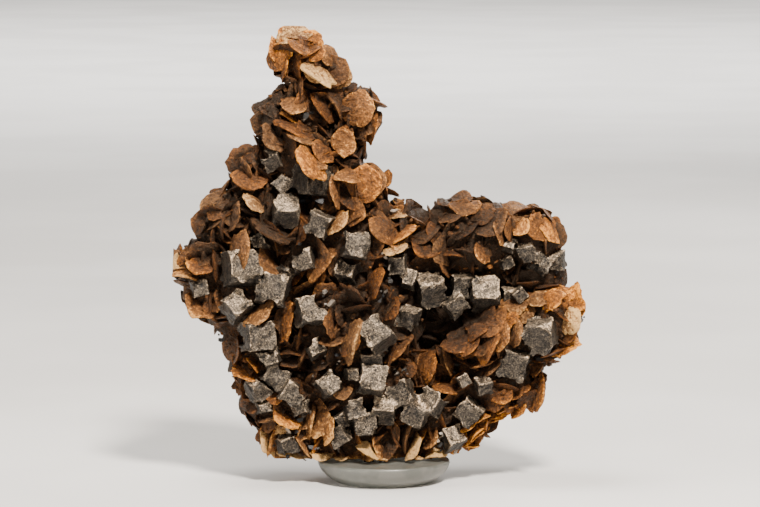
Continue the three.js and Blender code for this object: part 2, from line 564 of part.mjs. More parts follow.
// The pad: a clear round puck, its side rounded in to a flat foot
function padGeometry() {
  const profile = new THREE.Path();
  profile.moveTo(0, 0);
  profile.lineTo(PAD_FOOT_RADIUS, 0);
  profile.quadraticCurveTo(PAD_RADIUS - 0.6, PAD_HEIGHT * 0.35, PAD_RADIUS, PAD_HEIGHT - PAD_LIP);
  profile.quadraticCurveTo(PAD_RADIUS, PAD_HEIGHT, PAD_RADIUS - PAD_LIP, PAD_HEIGHT);
  profile.lineTo(0, PAD_HEIGHT);
  return new THREE.LatheGeometry(profile.getPoints(2), 24).rotateX(Math.PI / 2);
}

function meshOf(name, geometry, material) {
  const mesh = new THREE.Mesh(geometry, material);
  mesh.name = name;
  return mesh;
}

const specimen = new THREE.Group();
const galena = galenaSolids();
specimen.add(meshOf("siderite", geometryOf(sideriteSolid(galena)), SIDERITE));
for (const { name, body } of galena) specimen.add(meshOf(name, geometryOf(body), GALENA_GREY));
specimen.add(meshOf("display_pad", geometryOf(solid(padGeometry())), CLEAR));

export default specimen;
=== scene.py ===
"""Looks of a specimen of galena on siderite, standing on a clear pad.

Lengths are in millimetres, except those of the lights and the camera, which are in metres.
The siderite's blades grow out of a lumpy core, kept dark as painted shade between them. The galena is made
from the frame's solids.
Places on the front are read as seen: across from the pad's middle and up from its front edge.
"""
import math

import bmesh
import bpy
import numpy as np
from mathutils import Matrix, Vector
from mathutils.bvhtree import BVHTree
from mathutils.kdtree import KDTree


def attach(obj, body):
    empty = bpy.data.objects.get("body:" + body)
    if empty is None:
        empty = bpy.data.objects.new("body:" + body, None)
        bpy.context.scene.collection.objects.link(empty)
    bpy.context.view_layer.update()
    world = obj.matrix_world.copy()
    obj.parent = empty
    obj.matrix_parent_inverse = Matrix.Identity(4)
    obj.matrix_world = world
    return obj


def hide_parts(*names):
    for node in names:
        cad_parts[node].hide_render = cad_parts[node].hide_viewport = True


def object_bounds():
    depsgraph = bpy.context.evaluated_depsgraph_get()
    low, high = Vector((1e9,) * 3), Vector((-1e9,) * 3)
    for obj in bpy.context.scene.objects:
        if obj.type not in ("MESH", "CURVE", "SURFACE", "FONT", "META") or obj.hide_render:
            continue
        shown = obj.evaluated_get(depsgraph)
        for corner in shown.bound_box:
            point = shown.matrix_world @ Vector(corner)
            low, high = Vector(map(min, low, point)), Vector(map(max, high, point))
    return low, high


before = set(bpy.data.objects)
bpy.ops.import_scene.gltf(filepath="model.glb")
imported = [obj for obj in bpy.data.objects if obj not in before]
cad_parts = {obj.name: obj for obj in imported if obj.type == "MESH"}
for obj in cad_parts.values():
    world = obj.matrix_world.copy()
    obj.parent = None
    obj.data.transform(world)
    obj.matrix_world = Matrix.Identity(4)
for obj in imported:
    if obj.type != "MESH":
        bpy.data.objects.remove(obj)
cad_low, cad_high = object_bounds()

MM = 0.001
SEED = 41

# Driving sizes of the part, in millimetres
PAD_HEIGHT = 4.4
PAD_RADIUS = 13.3
PAD_FOOT_RADIUS = 9.5
PAD_LIP = 0.5  # radius of the pad's rounded upper edge
BASE_Z = PAD_HEIGHT + 0.3  # underside of the siderite
BOX_MARGIN = 0.02  # what is shown stays this far inside the CAD box

# Shares of a blade's length
BLADE_THICKNESS = 0.17
BLADE_BREADTH = 0.42  # half its breadth

VIEW_DROP = math.radians(6.0)  # the photograph looks down by this angle
FOOT_FRONT = PAD_FOOT_RADIUS * math.sin(VIEW_DROP)  # how far the foot's front edge shows below z = 0

# The core's lumps: centre x, y, z and half sizes x, y, z
LUMPS = np.array([
    [-17, 1, 84.5, 4.6, 4.2, 5], [-11.5, 1, 82.5, 3.2, 3.4, 3.4],
    [-15, 2, 75.5, 7, 6, 6.5], [-6, 1.5, 74, 5, 4.5, 5.4],
    [-21.5, 2, 71, 4.4, 5, 6.5], [-15, 2, 66, 10.5, 8.5, 8],
    [-25.5, 3, 62, 4.5, 6, 5.5], [-8, 1, 58, 8, 8, 7],
    [-24, 3, 52.5, 11.5, 9, 9], [-31, 3, 51, 5.8, 6.5, 6.8],
    [-34, 3, 43, 8, 7, 5.5], [-9, 2, 48, 14, 10.5, 11],
    [3, 3, 51, 5, 6, 5], [-25, 3, 38, 11.5, 9.5, 11],
    [-35.5, 3, 37.5, 4.6, 6, 5], [-23, 3, 27, 8.5, 9, 9.5],
    [-20, 2, 16.5, 8.5, 8, 7], [-17.5, 1.5, 9.2, 6.8, 6, 4.6],
    [-7, 2, 33, 15, 11.5, 14], [-6, 2, 19, 13.5, 9, 9],
    [-4, 3, 9, 17, 8, 7], [7, 3, 14, 10, 7.5, 7],
    [17, 3, 12.5, 5.5, 5, 4.5], [11.5, 2.5, 8.3, 3.6, 5, 3.8],
    [5, 6, 44, 9, 8, 8], [18, 5, 48.5, 12, 8, 7.2],
    [14.5, 4, 53, 5.5, 5.5, 3.8], [29, 4, 48.5, 6, 6.5, 6],
    [30, 4, 41, 6, 4.5, 4], [13, 9, 32, 12.5, 6.5, 11],
    [13, 5, 22.5, 8, 5.5, 5], [22, 2, 28, 8.5, 8.5, 5.5],
    [34, 0.5, 32.5, 4.8, 6, 6], [29.5, 4.5, 31.5, 8, 5.5, 6.5],
    [32, 1, 28.2, 5, 5.5, 4.6], [22, 2, 19.5, 9.5, 6.5, 5],
])
LUMP_SHRINK = np.array([1, 1, 1, 0.93, 0.93, 0.93])  # the core is a little smaller than the lumps
LUMP_X, LUMP_Y, LUMP_Z, HALF_X, HALF_Y, HALF_Z = LUMPS.T
# Lumps of the core alone, between the right lobes and below the lower one
INNER_LUMPS = np.array([[22, 5.5, 42, 6, 4, 3.4], [29.3, 3.5, 24, 3.4, 4, 3.6]])

# Siderite blades: across, up, length, apparent width (negative where the blade faces down),
# turn in degrees, how far they stand forward of the core, and tone from 0 (dark) to 1 (cream)
# The dark tones of the blades that face down are painted shade.
TOWER_BLADES = [
    [-20.8, 86, 6.8, 4.6, 82, 0.8, 0.9], [-18, 90, 7.4, 3.8, 8, 0.4, 0.95],
    [-14.2, 89.2, 5, 3.6, -35, 0.6, 0.9], [-16.6, 87.6, 5.4, 1.8, -30, 2, 0.62],
    [-14, 86.4, 4.8, 3.2, 10, 1.2, 0.7], [-10.8, 85.8, 5.4, 3.2, -60, 0.8, 0.72],
    [-13, 82.4, 9, 2.6, -34, 2.4, 0.97], [-8.2, 81.8, 5.8, 2.6, 65, 0.8, 0.78],
    [-19.6, 83.6, 4.4, 1.2, 82, 1, 0.7], [-18.6, 80.6, 5, -2, -30, 1, 0.35],
    [-16.6, 79.6, 4.4, 1.2, 85, 1.4, 0.45], [-17.9, 76, 5.6, 2.8, -12, 1.6, 0.74],
    [-18.6, 73.8, 4.2, 1.2, -35, 1.6, 0.85], [-12.2, 75.4, 7, 2.2, -55, 1.2, 0.5],
    [-9, 76.4, 7.4, 2.6, -60, 0.8, 0.46], [-5.2, 75.4, 7.8, 6.2, 70, 0.8, 0.8],
    [-2.8, 71.8, 6.8, 3.6, 78, 0, 0.78], [-8, 68.7, 6, 5.6, 90, 2.6, 0.78],
    [-4.4, 67.6, 5.6, 1.5, 86, 0.4, 0.42], [-17.6, 71.4, 8.4, 2, -28, 1, 0.55],
    [-16.4, 69.8, 6.4, 1.8, -24, 1.2, 0.6], [-21.8, 69.4, 7.4, 2.2, -52, 0.8, 0.6],
    [-28.2, 65.2, 8, 5.6, 60, 0, 0.5], [-26.8, 61.6, 8, 3.6, -6, 1, 0.62],
    [-14.4, 64.4, 9, 3, -50, 4.6, 0.78], [-12.2, 66.8, 5.6, 3.2, -45, 1.4, 0.6],
    [-7.4, 61.7, 5.2, 1.8, -8, 3, 0.66], [-9.6, 58.8, 6.8, 1.8, -80, 1.6, 0.6],
    [-3.9, 60.5, 8.2, 6.8, 80, 1.4, 0.7], [0.3, 61.4, 3.6, 2.4, 70, 0, 0.7],
    [1.2, 59, 4.4, -1, -28, 0, 0.4], [-22.9, 74.2, 5, 2.8, 70, 0, 0.3],
    [-21.4, 77.2, 4, 2.2, 60, 0, 0.3],
]
LEFT_BLADES = [
    [-33.6, 57, 6.8, 4.2, 30, 0, 0.72], [-36.4, 52.8, 6, 4.2, 65, 0.4, 0.6],
    [-25.8, 56.8, 5.6, 1.9, -38, 1.4, 0.95], [-22.2, 51.2, 10, 2.6, -28, 1.2, 0.35],
    [-28.6, 46.8, 9.6, 4, 84, 5, 0.7], [-23, 45, 6.4, 2.8, -55, 1.4, 0.6],
    [-20.3, 47.9, 3.8, 2.2, -20, 1, 0.5], [-36, 47.2, 7, -4, 15, 0.6, 0.35],
    [-36.6, 44.2, 6.2, 2.6, -8, 1, 0.58], [-39, 42.6, 6.4, 1.9, -12, 0.4, 0.7],
    [-41, 44.9, 4, 3, 80, 0, 1], [-37, 36, 6.8, 3.4, -38, 0.8, 0.74],
    [-33.2, 36.6, 3.8, 2.2, 60, 0.6, 0.66], [-24.8, 35, 7.8, 2.2, 42, 2.2, 0.64],
    [-19.6, 33, 9, 3, 75, 2, 0.58], [-30.4, 28.6, 7, 4, 75, 0.2, 0.5],
    [-27.4, 23, 6.8, 2.4, -18, 1.2, 0.68], [-25.8, 24.5, 4.2, 1.1, -52, 1.4, 0.75],
    [-28.4, 20.2, 4.6, 2.2, 60, 0.2, 0.6], [-18, 27.4, 5.8, 1.7, -5, 1.2, 0.5],
    [-19.6, 13.8, 6.8, 1.8, -36, 1.4, 0.72], [-23.3, 8.8, 6.2, 2.6, -70, 1.2, 1.05],
    [-20.5, 11.6, 3, 1.8, 20, 1.4, 0.85], [-20, 6.6, 3.4, 0.9, -16, 1.6, 1.1],
    [-17, 6, 3.6, 0.8, -6, 1.6, 1], [-21.6, 18, 3.8, 2, 20, 0.6, 0.6],
    [-29.6, 54, 6, 2, 75, 0.6, 0.55], [-32.4, 52.4, 6, 1.6, 82, 0.8, 0.35],
    [-23, 13, 4.5, 3, 80, 0.6, 0.4], [-25.4, 16.4, 4.6, 2.4, 30, 0, 0.45],
    [-27.4, 19.6, 6, 3, -80, 0.2, 0.5],
]
MIDDLE_BLADES = [
    [-5.8, 55, 5.8, 4, 75, 1, 0.62], [-9.2, 52.8, 6.2, 2, 50, 1.4, 0.8],
    [-0.2, 51.4, 7.4, 4, -50, 1.4, 0.6], [2.9, 56.6, 3, 1.6, -60, 0.6, 0.85],
    [2.6, 54.4, 4, 1.6, 10, 0.8, 0.95], [3.6, 50.4, 7.2, 1.2, 34, 3, 0.85],
    [2.2, 47.4, 5, 1.8, 16, 4, 0.97], [-1.7, 40.8, 7.2, 2.4, 68, 2, 0.62],
    [-12.6, 44.8, 8.4, 3, 50, 1.2, 0.56], [-16.4, 51, 5.2, 1.4, 82, 0.8, 0.55],
    [-10.6, 32.8, 6, 1.6, -80, 1.2, 0.52], [-6.2, 29.4, 9.6, 2.6, 76, 3.6, 0.66],
    [-10.4, 29.2, 5.2, 1.4, 6, 1, 0.62], [2.6, 27.8, 8, 2.6, 42, 0.6, 0.6],
    [-6.2, 38.2, 7.6, -2.6, -42, 0.2, 0.3], [1.4, 35.6, 6, 2, 60, 0.4, 0.5],
    [-16.6, 29.4, 4.6, -2, 30, 0, 0.3], [8.2, 23.6, 8.8, 3.8, 76, 3, 0.6],
    [12.4, 19.7, 5.8, 1.6, -12, 2, 0.64], [-12.8, 13.6, 8.4, 4, 80, 2, 0.7],
    [-15, 13.4, 8, 2, 82, 1.4, 0.6], [-11, 11.4, 5.6, 1.8, 78, 3.4, 0.8],
    [-8.2, 19.2, 4, 2.6, 10, 1, 0.66], [-12.5, 6.2, 5, 0.9, -4, 1.6, 0.98],
    [-8.6, 5.8, 3, 0.8, 4, 1.6, 0.98], [0.5, 5.9, 2.6, 0.7, 8, 1.6, 1.2],
    [6.6, 5.6, 3, 0.8, -5, 1.6, 1.1], [-3.2, 7.3, 5.4, 1.8, -30, 2, 1.15],
    [5.8, 7.8, 5.6, 1.8, 62, 2, 1.15], [10.4, 6.6, 4.8, 1.6, 5, 1.8, 1.15],
    [1.8, 9.6, 5.6, -1.6, -62, -0.6, 0.4], [9.4, 9.8, 5.8, 1.5, 60, 0.4, 0.5],
    [4.2, 10.4, 7, 1.4, 76, 0.2, 0.5], [-1, 8, 5.6, 1.6, -70, 0.2, 0.7],
]
RIGHT_BLADES = [
    [8.4, 48, 7.4, 3, -20, 1, 0.5], [7.6, 50.6, 8, 2.4, 14, 1, 0.45],
    [11.7, 44.6, 5.8, 1.4, -65, 1.6, 0.55], [14, 46.8, 4.8, 1.4, -3, 0.8, 0.6],
    [16.2, 45.6, 8.4, -5, -20, 0, 0.3], [19.4, 46.7, 4.8, 2.2, -55, 1.8, 0.8],
    [16.2, 56, 6.4, 3, 0, 0, 0.75], [19.8, 54.4, 5.4, 4, 20, 0.6, 0.5],
    [26.4, 55, 8, 3.2, -4, 0.4, 0.75], [32.8, 51.8, 7.4, 2.6, -50, 0, 0.92],
    [30.6, 52, 6.2, 4, -70, 0.6, 0.62], [27.4, 52, 4.6, 2.2, 50, 1.8, 0.85],
    [25, 51.4, 5.6, 1.3, -86, 1.4, 0.6], [23, 50.6, 5, 1.3, -70, 1.6, 0.75],
    [21.8, 52.4, 7.4, 2.6, 34, 0.8, 0.5], [28.6, 41.6, 6.4, -4, 10, -0.6, 0.2],
    [24.8, 36, 5.4, 3.4, 20, 2.4, 0.66], [29, 36.6, 5.4, 3.2, 0, 1.2, 0.72],
    [21.2, 33, 9.4, 3, 36, 1.8, 0.6], [15, 28.8, 7.4, 3.4, 12, 3, 0.6],
    [12.8, 25.4, 6.2, 1.8, -75, 2.6, 0.58], [20.8, 28.2, 8.2, 3, 64, 1.6, 0.6],
    [26, 31, 6.4, 2, 86, 1.4, 0.66], [17.2, 28.4, 5.4, 2.2, 50, 2.6, 0.66],
    [18.4, 31.2, 5, 2.4, 35, 2.4, 0.68], [22.6, 34.6, 4.6, 2.4, 30, 2.6, 0.74],
    [23.4, 30.2, 6, 2.2, 70, 2, 0.7], [24.6, 33, 5.4, 2.8, 50, 2.4, 0.72],
    [26.6, 36.2, 5, 2.6, 15, 2, 0.76], [28.2, 34.6, 5, 2.8, 35, 1.6, 0.76],
    [31.2, 37.6, 5, 3, 10, 1.4, 0.8], [34.4, 39.2, 4.4, 2.6, 5, 0.8, 0.82],
    [21.6, 24.4, 6.4, 2, 45, 1.2, 0.5], [33.6, 37.4, 5.6, 3.4, 40, 0.6, 0.85],
    [36.2, 38.8, 4.8, 2.8, 0, 0.6, 0.86], [38, 38.6, 4.2, 2.2, 80, 0.2, 0.88],
    [37.6, 36.8, 5.6, 2.2, -15, 0.8, 0.74], [37, 33.2, 6.4, 4.2, 70, 0.8, 0.95],
    [36, 28.4, 6.8, 4, 20, 0.6, 0.85], [38.7, 36.2, 5.4, 3, 86, 0.2, 0.8],
    [30.4, 24, 4.6, 2.6, 60, 0.4, 0.6], [30.4, 18.6, 8.6, 4.4, 80, 0.4, 0.64],
    [27.2, 16.2, 6.2, 1.7, 66, 0.8, 0.72], [23, 15, 6.2, 1.6, 12, 0.6, 0.78],
    [18, 10.6, 5.6, 2.6, 40, 0.6, 0.74], [17.5, 8.1, 3.6, 0.8, -2, 1.6, 0.9],
    [19.6, 9.8, 3.6, 0.9, 62, 1.6, 0.88], [20.4, 12.4, 3, 0.8, 85, 1.4, 0.8],
    [15.9, 9.8, 3.4, 0.8, 64, 2.2, 0.84], [18.2, 10.6, 4, 0.8, 48, 2, 0.88],
    [17, 12.2, 4.2, 0.9, 36, 2, 0.78], [19.6, 13.8, 3.6, 0.8, 28, 1.6, 0.84],
    [22.4, 13.6, 4.6, 0.9, 18, 1.4, 0.86], [24.6, 15.8, 5.2, 1, 26, 1.2, 0.82],
    [23.6, 18.4, 5, 2.4, 30, 0.8, 0.62],
]
REGIONS = {
    "siderite_tower": TOWER_BLADES,
    "siderite_left": LEFT_BLADES,
    "siderite_middle": MIDDLE_BLADES,
    "siderite_right": RIGHT_BLADES,
}

# Blades between the listed ones and all round: spacing and length in millimetres, and lean
# from lying flat on the core in degrees
FRONT_SPACING = 3.1
REAR_SPACING = 3.9
FILLER_LENGTH = (4.2, 7.2)
FILLER_SEAT = (-1.1, 0.3)  # how far out of the core a blade's middle is
# Tones of the blades between: kept low, partly as painted shade in the hollows
FILLER_TONES = (0.3, 0.66)
FACE_LEAN = (50, 86)
OUTLINE_LEAN = (12, 48)
OUTLINE_LENGTH = 0.85  # against the others' length
FOOT_LEAN = (74, 89)
FOOT_SWING = (0.7, 2.4)  # radians, roughly upright
FOOT_TOP = 13.0
FILLER_TRIES = 5  # places are left bare where all of them would hide galena
CLEAR_OF_GALENA = 1.0
HIDING_REACH = 14.0  # a crystal this close behind a blade counts as hidden by it
GOLDEN_ANGLE = math.pi * (3 - math.sqrt(5))

# Grains between the blades: spacing and size in millimetres
GRAIN_SPACING = 1.7
GRAIN_SIZE = (0.4, 1.7)
GRAIN_TONES = (0.1, 0.66)

CREAM_TONE = 0.94  # blades paler than this are cream, never orange
PAINTED_SHADE_REACH = 2.2  # painted shade: the siderite is darkest at the core and no longer darkened this far out of it
CORE_VOXEL = 0.8
GALENA_VOXEL = 0.24
PALE_FOOT_HEIGHT = 1.6

# Places where the siderite is paler or darker: across, up, radius, gain in tone. The paler ones are its
# own tone; the darker ones, mostly in hollows, are painted shade.
TONE_AND_SHADE_PLACES = [
    (-17, 88, 7, -0.03), (-5, 73.5, 7, -0.12), (-30, 59, 8, -0.1), (5, 52, 6, -0.1),
    (23, 52, 5, -0.1), (20, 32.5, 4, -0.12), (37, 35, 7, 0.12), (27, 34, 6, -0.02),
    (33, 38.5, 5, 0.08), (31, 54, 7, 0.05), (-41, 45, 3, 0.4), (27, 17, 7, 0.04),
    (-23, 73, 6, -0.15), (-21, 52, 7, -0.2), (-33, 49, 6, -0.15), (-13, 25, 7, -0.2),
    (-4, 38, 6, -0.2), (12, 34, 8, -0.45), (15, 50, 8, -0.2), (30, 41, 7, -0.2),
    (4, 10, 4, -0.1), (-18, 7, 6, 0.35), (-4, 5.5, 4, 0.35), (12, 6, 5, 0.35),
]

# Places where the siderite is a deep orange: across, up, radius
ORANGE_PLACES = [
    (38, 36.4, 6), (-18, 88, 6), (-25, 22, 6), (18, 11, 6),
    (28, 17, 6), (-1.5, 40.5, 5), (16, 29, 4), (36, 39, 4),
]

# Notches and hollow sides in the outlines of the galena_ nodes of these names: across, up, radius
BITES = {
    "shoulder": [(-22, 58.3, 1), (-15.4, 57.6, 1.2), (-23.6, 53.8, 1.5)],
    "upper_middle": [(-15.9, 53.8, 1.5), (-11.4, 55.4, 0.9), (-16.4, 51, 0.8), (-9.6, 51.2, 1.6)],
    "saddle": [(-6.2, 52.5, 1.8), (-8.9, 49.3, 1.4), (-2, 50.9, 1)],
    "wedge": [(-6.2, 46.6, 2.2), (-9.9, 40.6, 0.9), (-4.4, 41.6, 1.4)],
    "left_of_middle": [(-17.5, 47.8, 1.6), (-13, 47.4, 1), (-18.9, 44.6, 0.8)],
    "left_pair": [(-18.7, 45.6, 1.9), (-22.6, 36.4, 1.3), (-18.3, 37, 1.4), (-24.6, 42.6, 1)],
    "left_block": [(-25.6, 34.6, 2), (-23.8, 33.9, 0.8), (-20.6, 32, 1), (-28.4, 29.4, 1)],
    "middle": [(-18.9, 36.2, 1.5), (-11.9, 37.7, 1.9), (-15, 31.6, 1.2)],
    "left_stack": [(-19.9, 24.4, 1.1), (-25, 23.8, 1.6), (-24.2, 28.6, 1)],
    "left_foot": [(-15.6, 19.6, 1.4), (-20.3, 16.4, 1.3)],
    "middle_small": [(-11.9, 29.7, 1.2), (-15.5, 29.2, 1.3), (-12, 25.8, 1.1)],
    "heart_stack": [
        (-2.4, 35.9, 0.9), (-4, 35.6, 0.8), (0.9, 34.4, 1.9), (-9.9, 34.6, 0.9), (-6.2, 34.7, 0.7),
    ],
    "low_middle": [(-9, 23.6, 1.3), (-13.6, 18.6, 1.2)],
    "low_twins": [(-6.5, 11, 0.9), (-1.2, 15.4, 0.7), (-8, 17, 1)],
    "low_right": [(2.2, 17.1, 0.7), (4.6, 16.8, 0.6), (1.6, 21.6, 1.4), (6.4, 22, 1.1), (12.4, 18.4, 1.3)],
    "right_foot": [(15, 17.8, 0.9), (20.2, 17.6, 1.4), (14.2, 12.4, 1.4)],
    "ridge": [(7.2, 46.6, 0.8), (12.6, 43.6, 0.7), (5.9, 38.6, 0.8), (11.4, 46.2, 1.2)],
    "hollow_pair": [(17.6, 39.2, 1), (12.8, 39, 0.9), (16.8, 34.6, 1.2)],
    "bright_top": [(16.6, 42, 1.2), (24, 40.6, 1), (17.4, 36.2, 0.9)],
    "lobe": [(29.9, 44.2, 1), (30.6, 48.6, 1.2), (32.9, 46.8, 0.9), (26.8, 44.8, 1)],
    "great_right": [(27, 33.4, 1.5), (34.9, 33.8, 1.3), (34.6, 27.2, 1.5), (28.2, 27.6, 1)],
    "right_block": [(26, 28.8, 0.9), (22.9, 26.9, 1.4), (29.9, 23.6, 1.6), (23, 20.9, 1)],
    "saddle_right": [(5.4, 44.9, 1), (2.6, 41.4, 1.1), (1, 46.8, 0.8)],
    "neck": [(-23.7, 66, 0.9), (-20.4, 63.2, 0.8)],
    "tower": [(-18.2, 58.6, 1.2), (-10.2, 63.2, 0.7), (-22.6, 61.8, 0.8)],
}

# Small cleaved galena facets that gleam or look black: across, up, size, turn in degrees,
# width as a share of the size, and tone
# The tones are a painted reflection: the high ones gleam and the low ones look black.
FACETS = [
    (-19, 11.3, 2.2, -55, 0.4, 1), (-21, 8.2, 2.4, 80, 0.5, 0.6), (-19.2, 8.5, 2.8, 20, 0.8, 0.08),
    (-17.4, 11.2, 1.6, 0, 0.7, 0.3), (-14.2, 8, 3, -15, 0.5, 0.05), (-13.2, 7.8, 1.2, 10, 0.6, 0.35),
    (-20.2, 6.9, 3.2, -14, 0.25, 0.95), (-16.4, 6, 3, -8, 0.2, 0.9), (-9, 7.5, 2, -50, 0.5, 0.75),
    (-3.2, 5.2, 2, 0, 0.5, 0.1), (14, 11.1, 2.6, -36, 0.5, 0.2), (12.6, 10, 2.4, -50, 0.5, 1),
    (14.2, 8.2, 1.4, 20, 0.5, 0.95), (11.2, 8.3, 2, 60, 0.6, 0.15), (12.2, 7.6, 1.6, 10, 0.6, 0.4),
    (10.8, 9.2, 1.2, 30, 0.6, 0.8), (13.4, 11.4, 1.6, 20, 0.7, 1), (12.8, 9, 1.5, -20, 0.7, 1),
    (15.2, 9.9, 1.5, 70, 0.6, 0.9), (14.4, 6.8, 1.3, 40, 0.6, 0.9), (11.6, 10.8, 1.3, 0, 0.7, 0.9),
    (-11.7, 39, 1.7, 20, 0.9, 0.75), (-10.6, 36.8, 2.4, 30, 0.6, 0.85), (0, 46.2, 3.6, -68, 0.3, 0.95),
    (0.3, 39.2, 1.6, 50, 0.6, 0.7), (-0.7, 37.5, 2, 60, 0.5, 0.35), (1.2, 41.3, 1.8, 10, 0.8, 0.35),
    (3.4, 48.4, 1.8, 40, 0.7, 0.85), (4.4, 48, 1.2, -20, 0.7, 0.9), (-24.9, 49.2, 2.6, -10, 0.6, 0.85),
    (-26, 49, 1.2, 40, 0.6, 1), (2, 55.2, 1.8, 10, 0.6, 0.95), (-15.2, 74, 2.2, 20, 0.8, 0.3),
    (-15.8, 73.2, 0.9, 70, 0.6, 0.9), (-18.5, 80.6, 0.8, 0, 0.8, 1), (32.6, 28, 1.6, 10, 0.8, 1.4),
    (31.2, 25.6, 1.8, 0, 0.8, 0.5), (39.4, 33.4, 1.6, 20, 0.8, 0.6), (28.9, 23.4, 0.8, 0, 0.9, 0.95),
    (24.9, 45, 1.4, 30, 0.8, 0.5), (14.6, 24.5, 2, -20, 0.3, 0.5), (13.8, 23, 1.8, -30, 0.3, 0.4),
    (-9.4, 26.6, 1.4, 20, 0.7, 0.1), (-9, 25.3, 0.8, 10, 0.7, 0.95), (-11.6, 26.4, 0.9, 0, 0.7, 0.9),
    (-12.2, 24.8, 1, 40, 0.6, 0.8), (-14, 22.4, 1.2, 60, 0.5, 0.85), (-16.8, 13.5, 1.8, 30, 0.8, 0.55),
    (0.6, 27.6, 1, 20, 0.8, 0.8), (-0.2, 26.6, 1, 20, 0.8, 0.95), (2.6, 22.8, 1.6, 30, 0.5, 0.8),
    (4, 23.6, 1.4, 40, 0.5, 0.7), (-32.6, 29.4, 1.6, 20, 0.8, 0.4), (-12.6, 57, 3.4, -8, 0.5, 0.06),
    (-16.2, 57.2, 2, 20, 0.5, 0.08), (20.2, 36, 4, -6, 0.6, 0.03), (-16.6, 48.6, 1.2, 30, 0.6, 0.5),
]
GLEAM = np.array([0.12, -0.89, 0.44])  # facets face about this way, to mirror the key light

SEARCH_SHARES = np.arange(0, 1, 0.05)  # steps of the way to a lump's middle


def scatter(k):
    """A repeatable number from 0 to 1 for a number k."""
    value = math.sin(k * 12.9898) * 43758.5453
    return value - math.floor(value)


def fade(away, reach):
    """1 at no distance, smoothly down to nothing at about twice the reach."""
    return np.exp(-((away / reach) ** 2))


def directions(count):
    """Angles evenly round a circle."""
    return np.arange(count) * 2 * math.pi / count


def height_of(up, y):
    """Height in the front view to height in the part's frame, at depth y."""
    return (up - FOOT_FRONT - y * math.sin(VIEW_DROP)) / math.cos(VIEW_DROP)


def up_of(z, y):
    """Height in the front view of a point at height z and depth y."""
    return z * math.cos(VIEW_DROP) + y * math.sin(VIEW_DROP) + FOOT_FRONT


def surface_depth(across, up):
    """Depth of the core's front at a place in the front view, or None beside the core."""
    dx = (across - LUMP_X) / HALF_X
    dz = (height_of(up, LUMP_Y) - LUMP_Z) / HALF_Z
    left = 1 - dx**2 - dz**2
    if left.max() <= 0:
        return None
    depth = LUMP_Y - HALF_Y * np.sqrt(np.maximum(left, 0))
    return float(depth[left > 0].min())


def seat_depth(across, up):
    """The same, and beside the core the depth of its nearest rim."""
    gap = np.hypot(across - LUMP_X, up - LUMP_Z) - np.minimum(HALF_X, HALF_Z)
    x, y, z = LUMPS[int(np.argmin(gap)), :3]
    for share in SEARCH_SHARES:
        depth = surface_depth(across + (x - across) * share, up + (z - up) * share)
        if depth is not None:
            return depth
    return float(y)


def outness(points):
    """How far points are outside the core, in millimetres, negative inside it."""
    best = np.full(len(points), np.inf)
    for lump in LUMPS:
        reach = np.linalg.norm((points - lump[:3]) / lump[3:], axis=1)
        best = np.minimum(best, (reach - 1) * lump[3:].min())
    return best


def lattice(cells, salt):
    """A repeatable number from 0 to 1 for each whole-number cell."""
    n = cells[:, 0] * 374761393 + cells[:, 1] * 668265263 + cells[:, 2] * 2147483647 + salt * 974634777
    n = (n ^ (n >> 13)) * 1274126177
    n = n ^ (n >> 16)
    return (n & 0xFFFFFF).astype(float) / 0xFFFFFF


def noise(points, size, salt):
    """Smooth noise from -1 to 1 with features of the given size, and a pattern for each salt."""
    p = points / size
    low = np.floor(p).astype(np.int64)
    f = p - low
    f = f * f * (3 - 2 * f)
    total = np.zeros(len(points))
    for corner in range(8):
        step = np.array([corner & 1, (corner >> 1) & 1, (corner >> 2) & 1])
        weight = np.prod(np.where(step == 1, f, 1 - f), axis=1)
        total += weight * lattice(low + step, salt)
    return total * 2 - 1


class Heap:
    """Vertices, triangles and per-vertex values gathered for one mesh."""

    def __init__(self):
        self.points, self.faces, self.values, self.count = [], [], {}, 0

    def add(self, points, faces, **values):
        self.points.append(points)
        self.faces.append(faces + self.count)
        for name, value in values.items():
            self.values.setdefault(name, []).append(np.broadcast_to(value, (len(points),)))
        self.count += len(points)

    def joined(self):
        return np.concatenate(self.points), np.concatenate(self.faces)

    def build(self, name, material, sharp_degrees=32):
        """A piece of the part: kept inside the CAD box, smooth, and sharp at its steeper edges."""
        low = np.array(cad_low) / MM + BOX_MARGIN
        high = np.array(cad_high) / MM - BOX_MARGIN
        points, faces = self.joined()
        obj = bare_object(name, np.clip(points, low, high), faces)
        mesh = obj.data
        mesh.shade_smooth()
        mesh.set_sharp_from_angle(angle=math.radians(sharp_degrees))
        mesh.materials.append(material)
        for key, parts in self.values.items():
            attribute = mesh.attributes.new(key, "FLOAT", "POINT")
            attribute.data.foreach_set("value", np.concatenate(parts).astype(np.float32))
        return obj


def add_object(name, data):
    """An object of the scene, from a mesh, a light or a camera."""
    obj = bpy.data.objects.new(name, data)
    bpy.context.scene.collection.objects.link(obj)
    return obj


def bare_object(name, points, faces):
    """A plain mesh as an object, from points in millimetres."""
    mesh = bpy.data.meshes.new(name)
    mesh.from_pydata((points * MM).tolist(), [], faces.tolist())
    return add_object(name, mesh)


def ring_faces(rings, around):
    """Triangles of a closed skin. Its points are an upper and a lower middle, then rings downwards."""
    i = np.arange(around)
    j = (i + 1) % around
    faces = [np.stack([np.zeros_like(i), 2 + i, 2 + j], 1)]
    for ring in range(rings - 1):
        a, b = 2 + ring * around + i, 2 + ring * around + j
        c, d = a + around, b + around
        faces.append(np.stack([a, c, d], 1))
        faces.append(np.stack([a, d, b], 1))
    last = 2 + (rings - 1) * around
    faces.append(np.stack([np.ones_like(i), last + j, last + i], 1))
    return np.concatenate(faces)


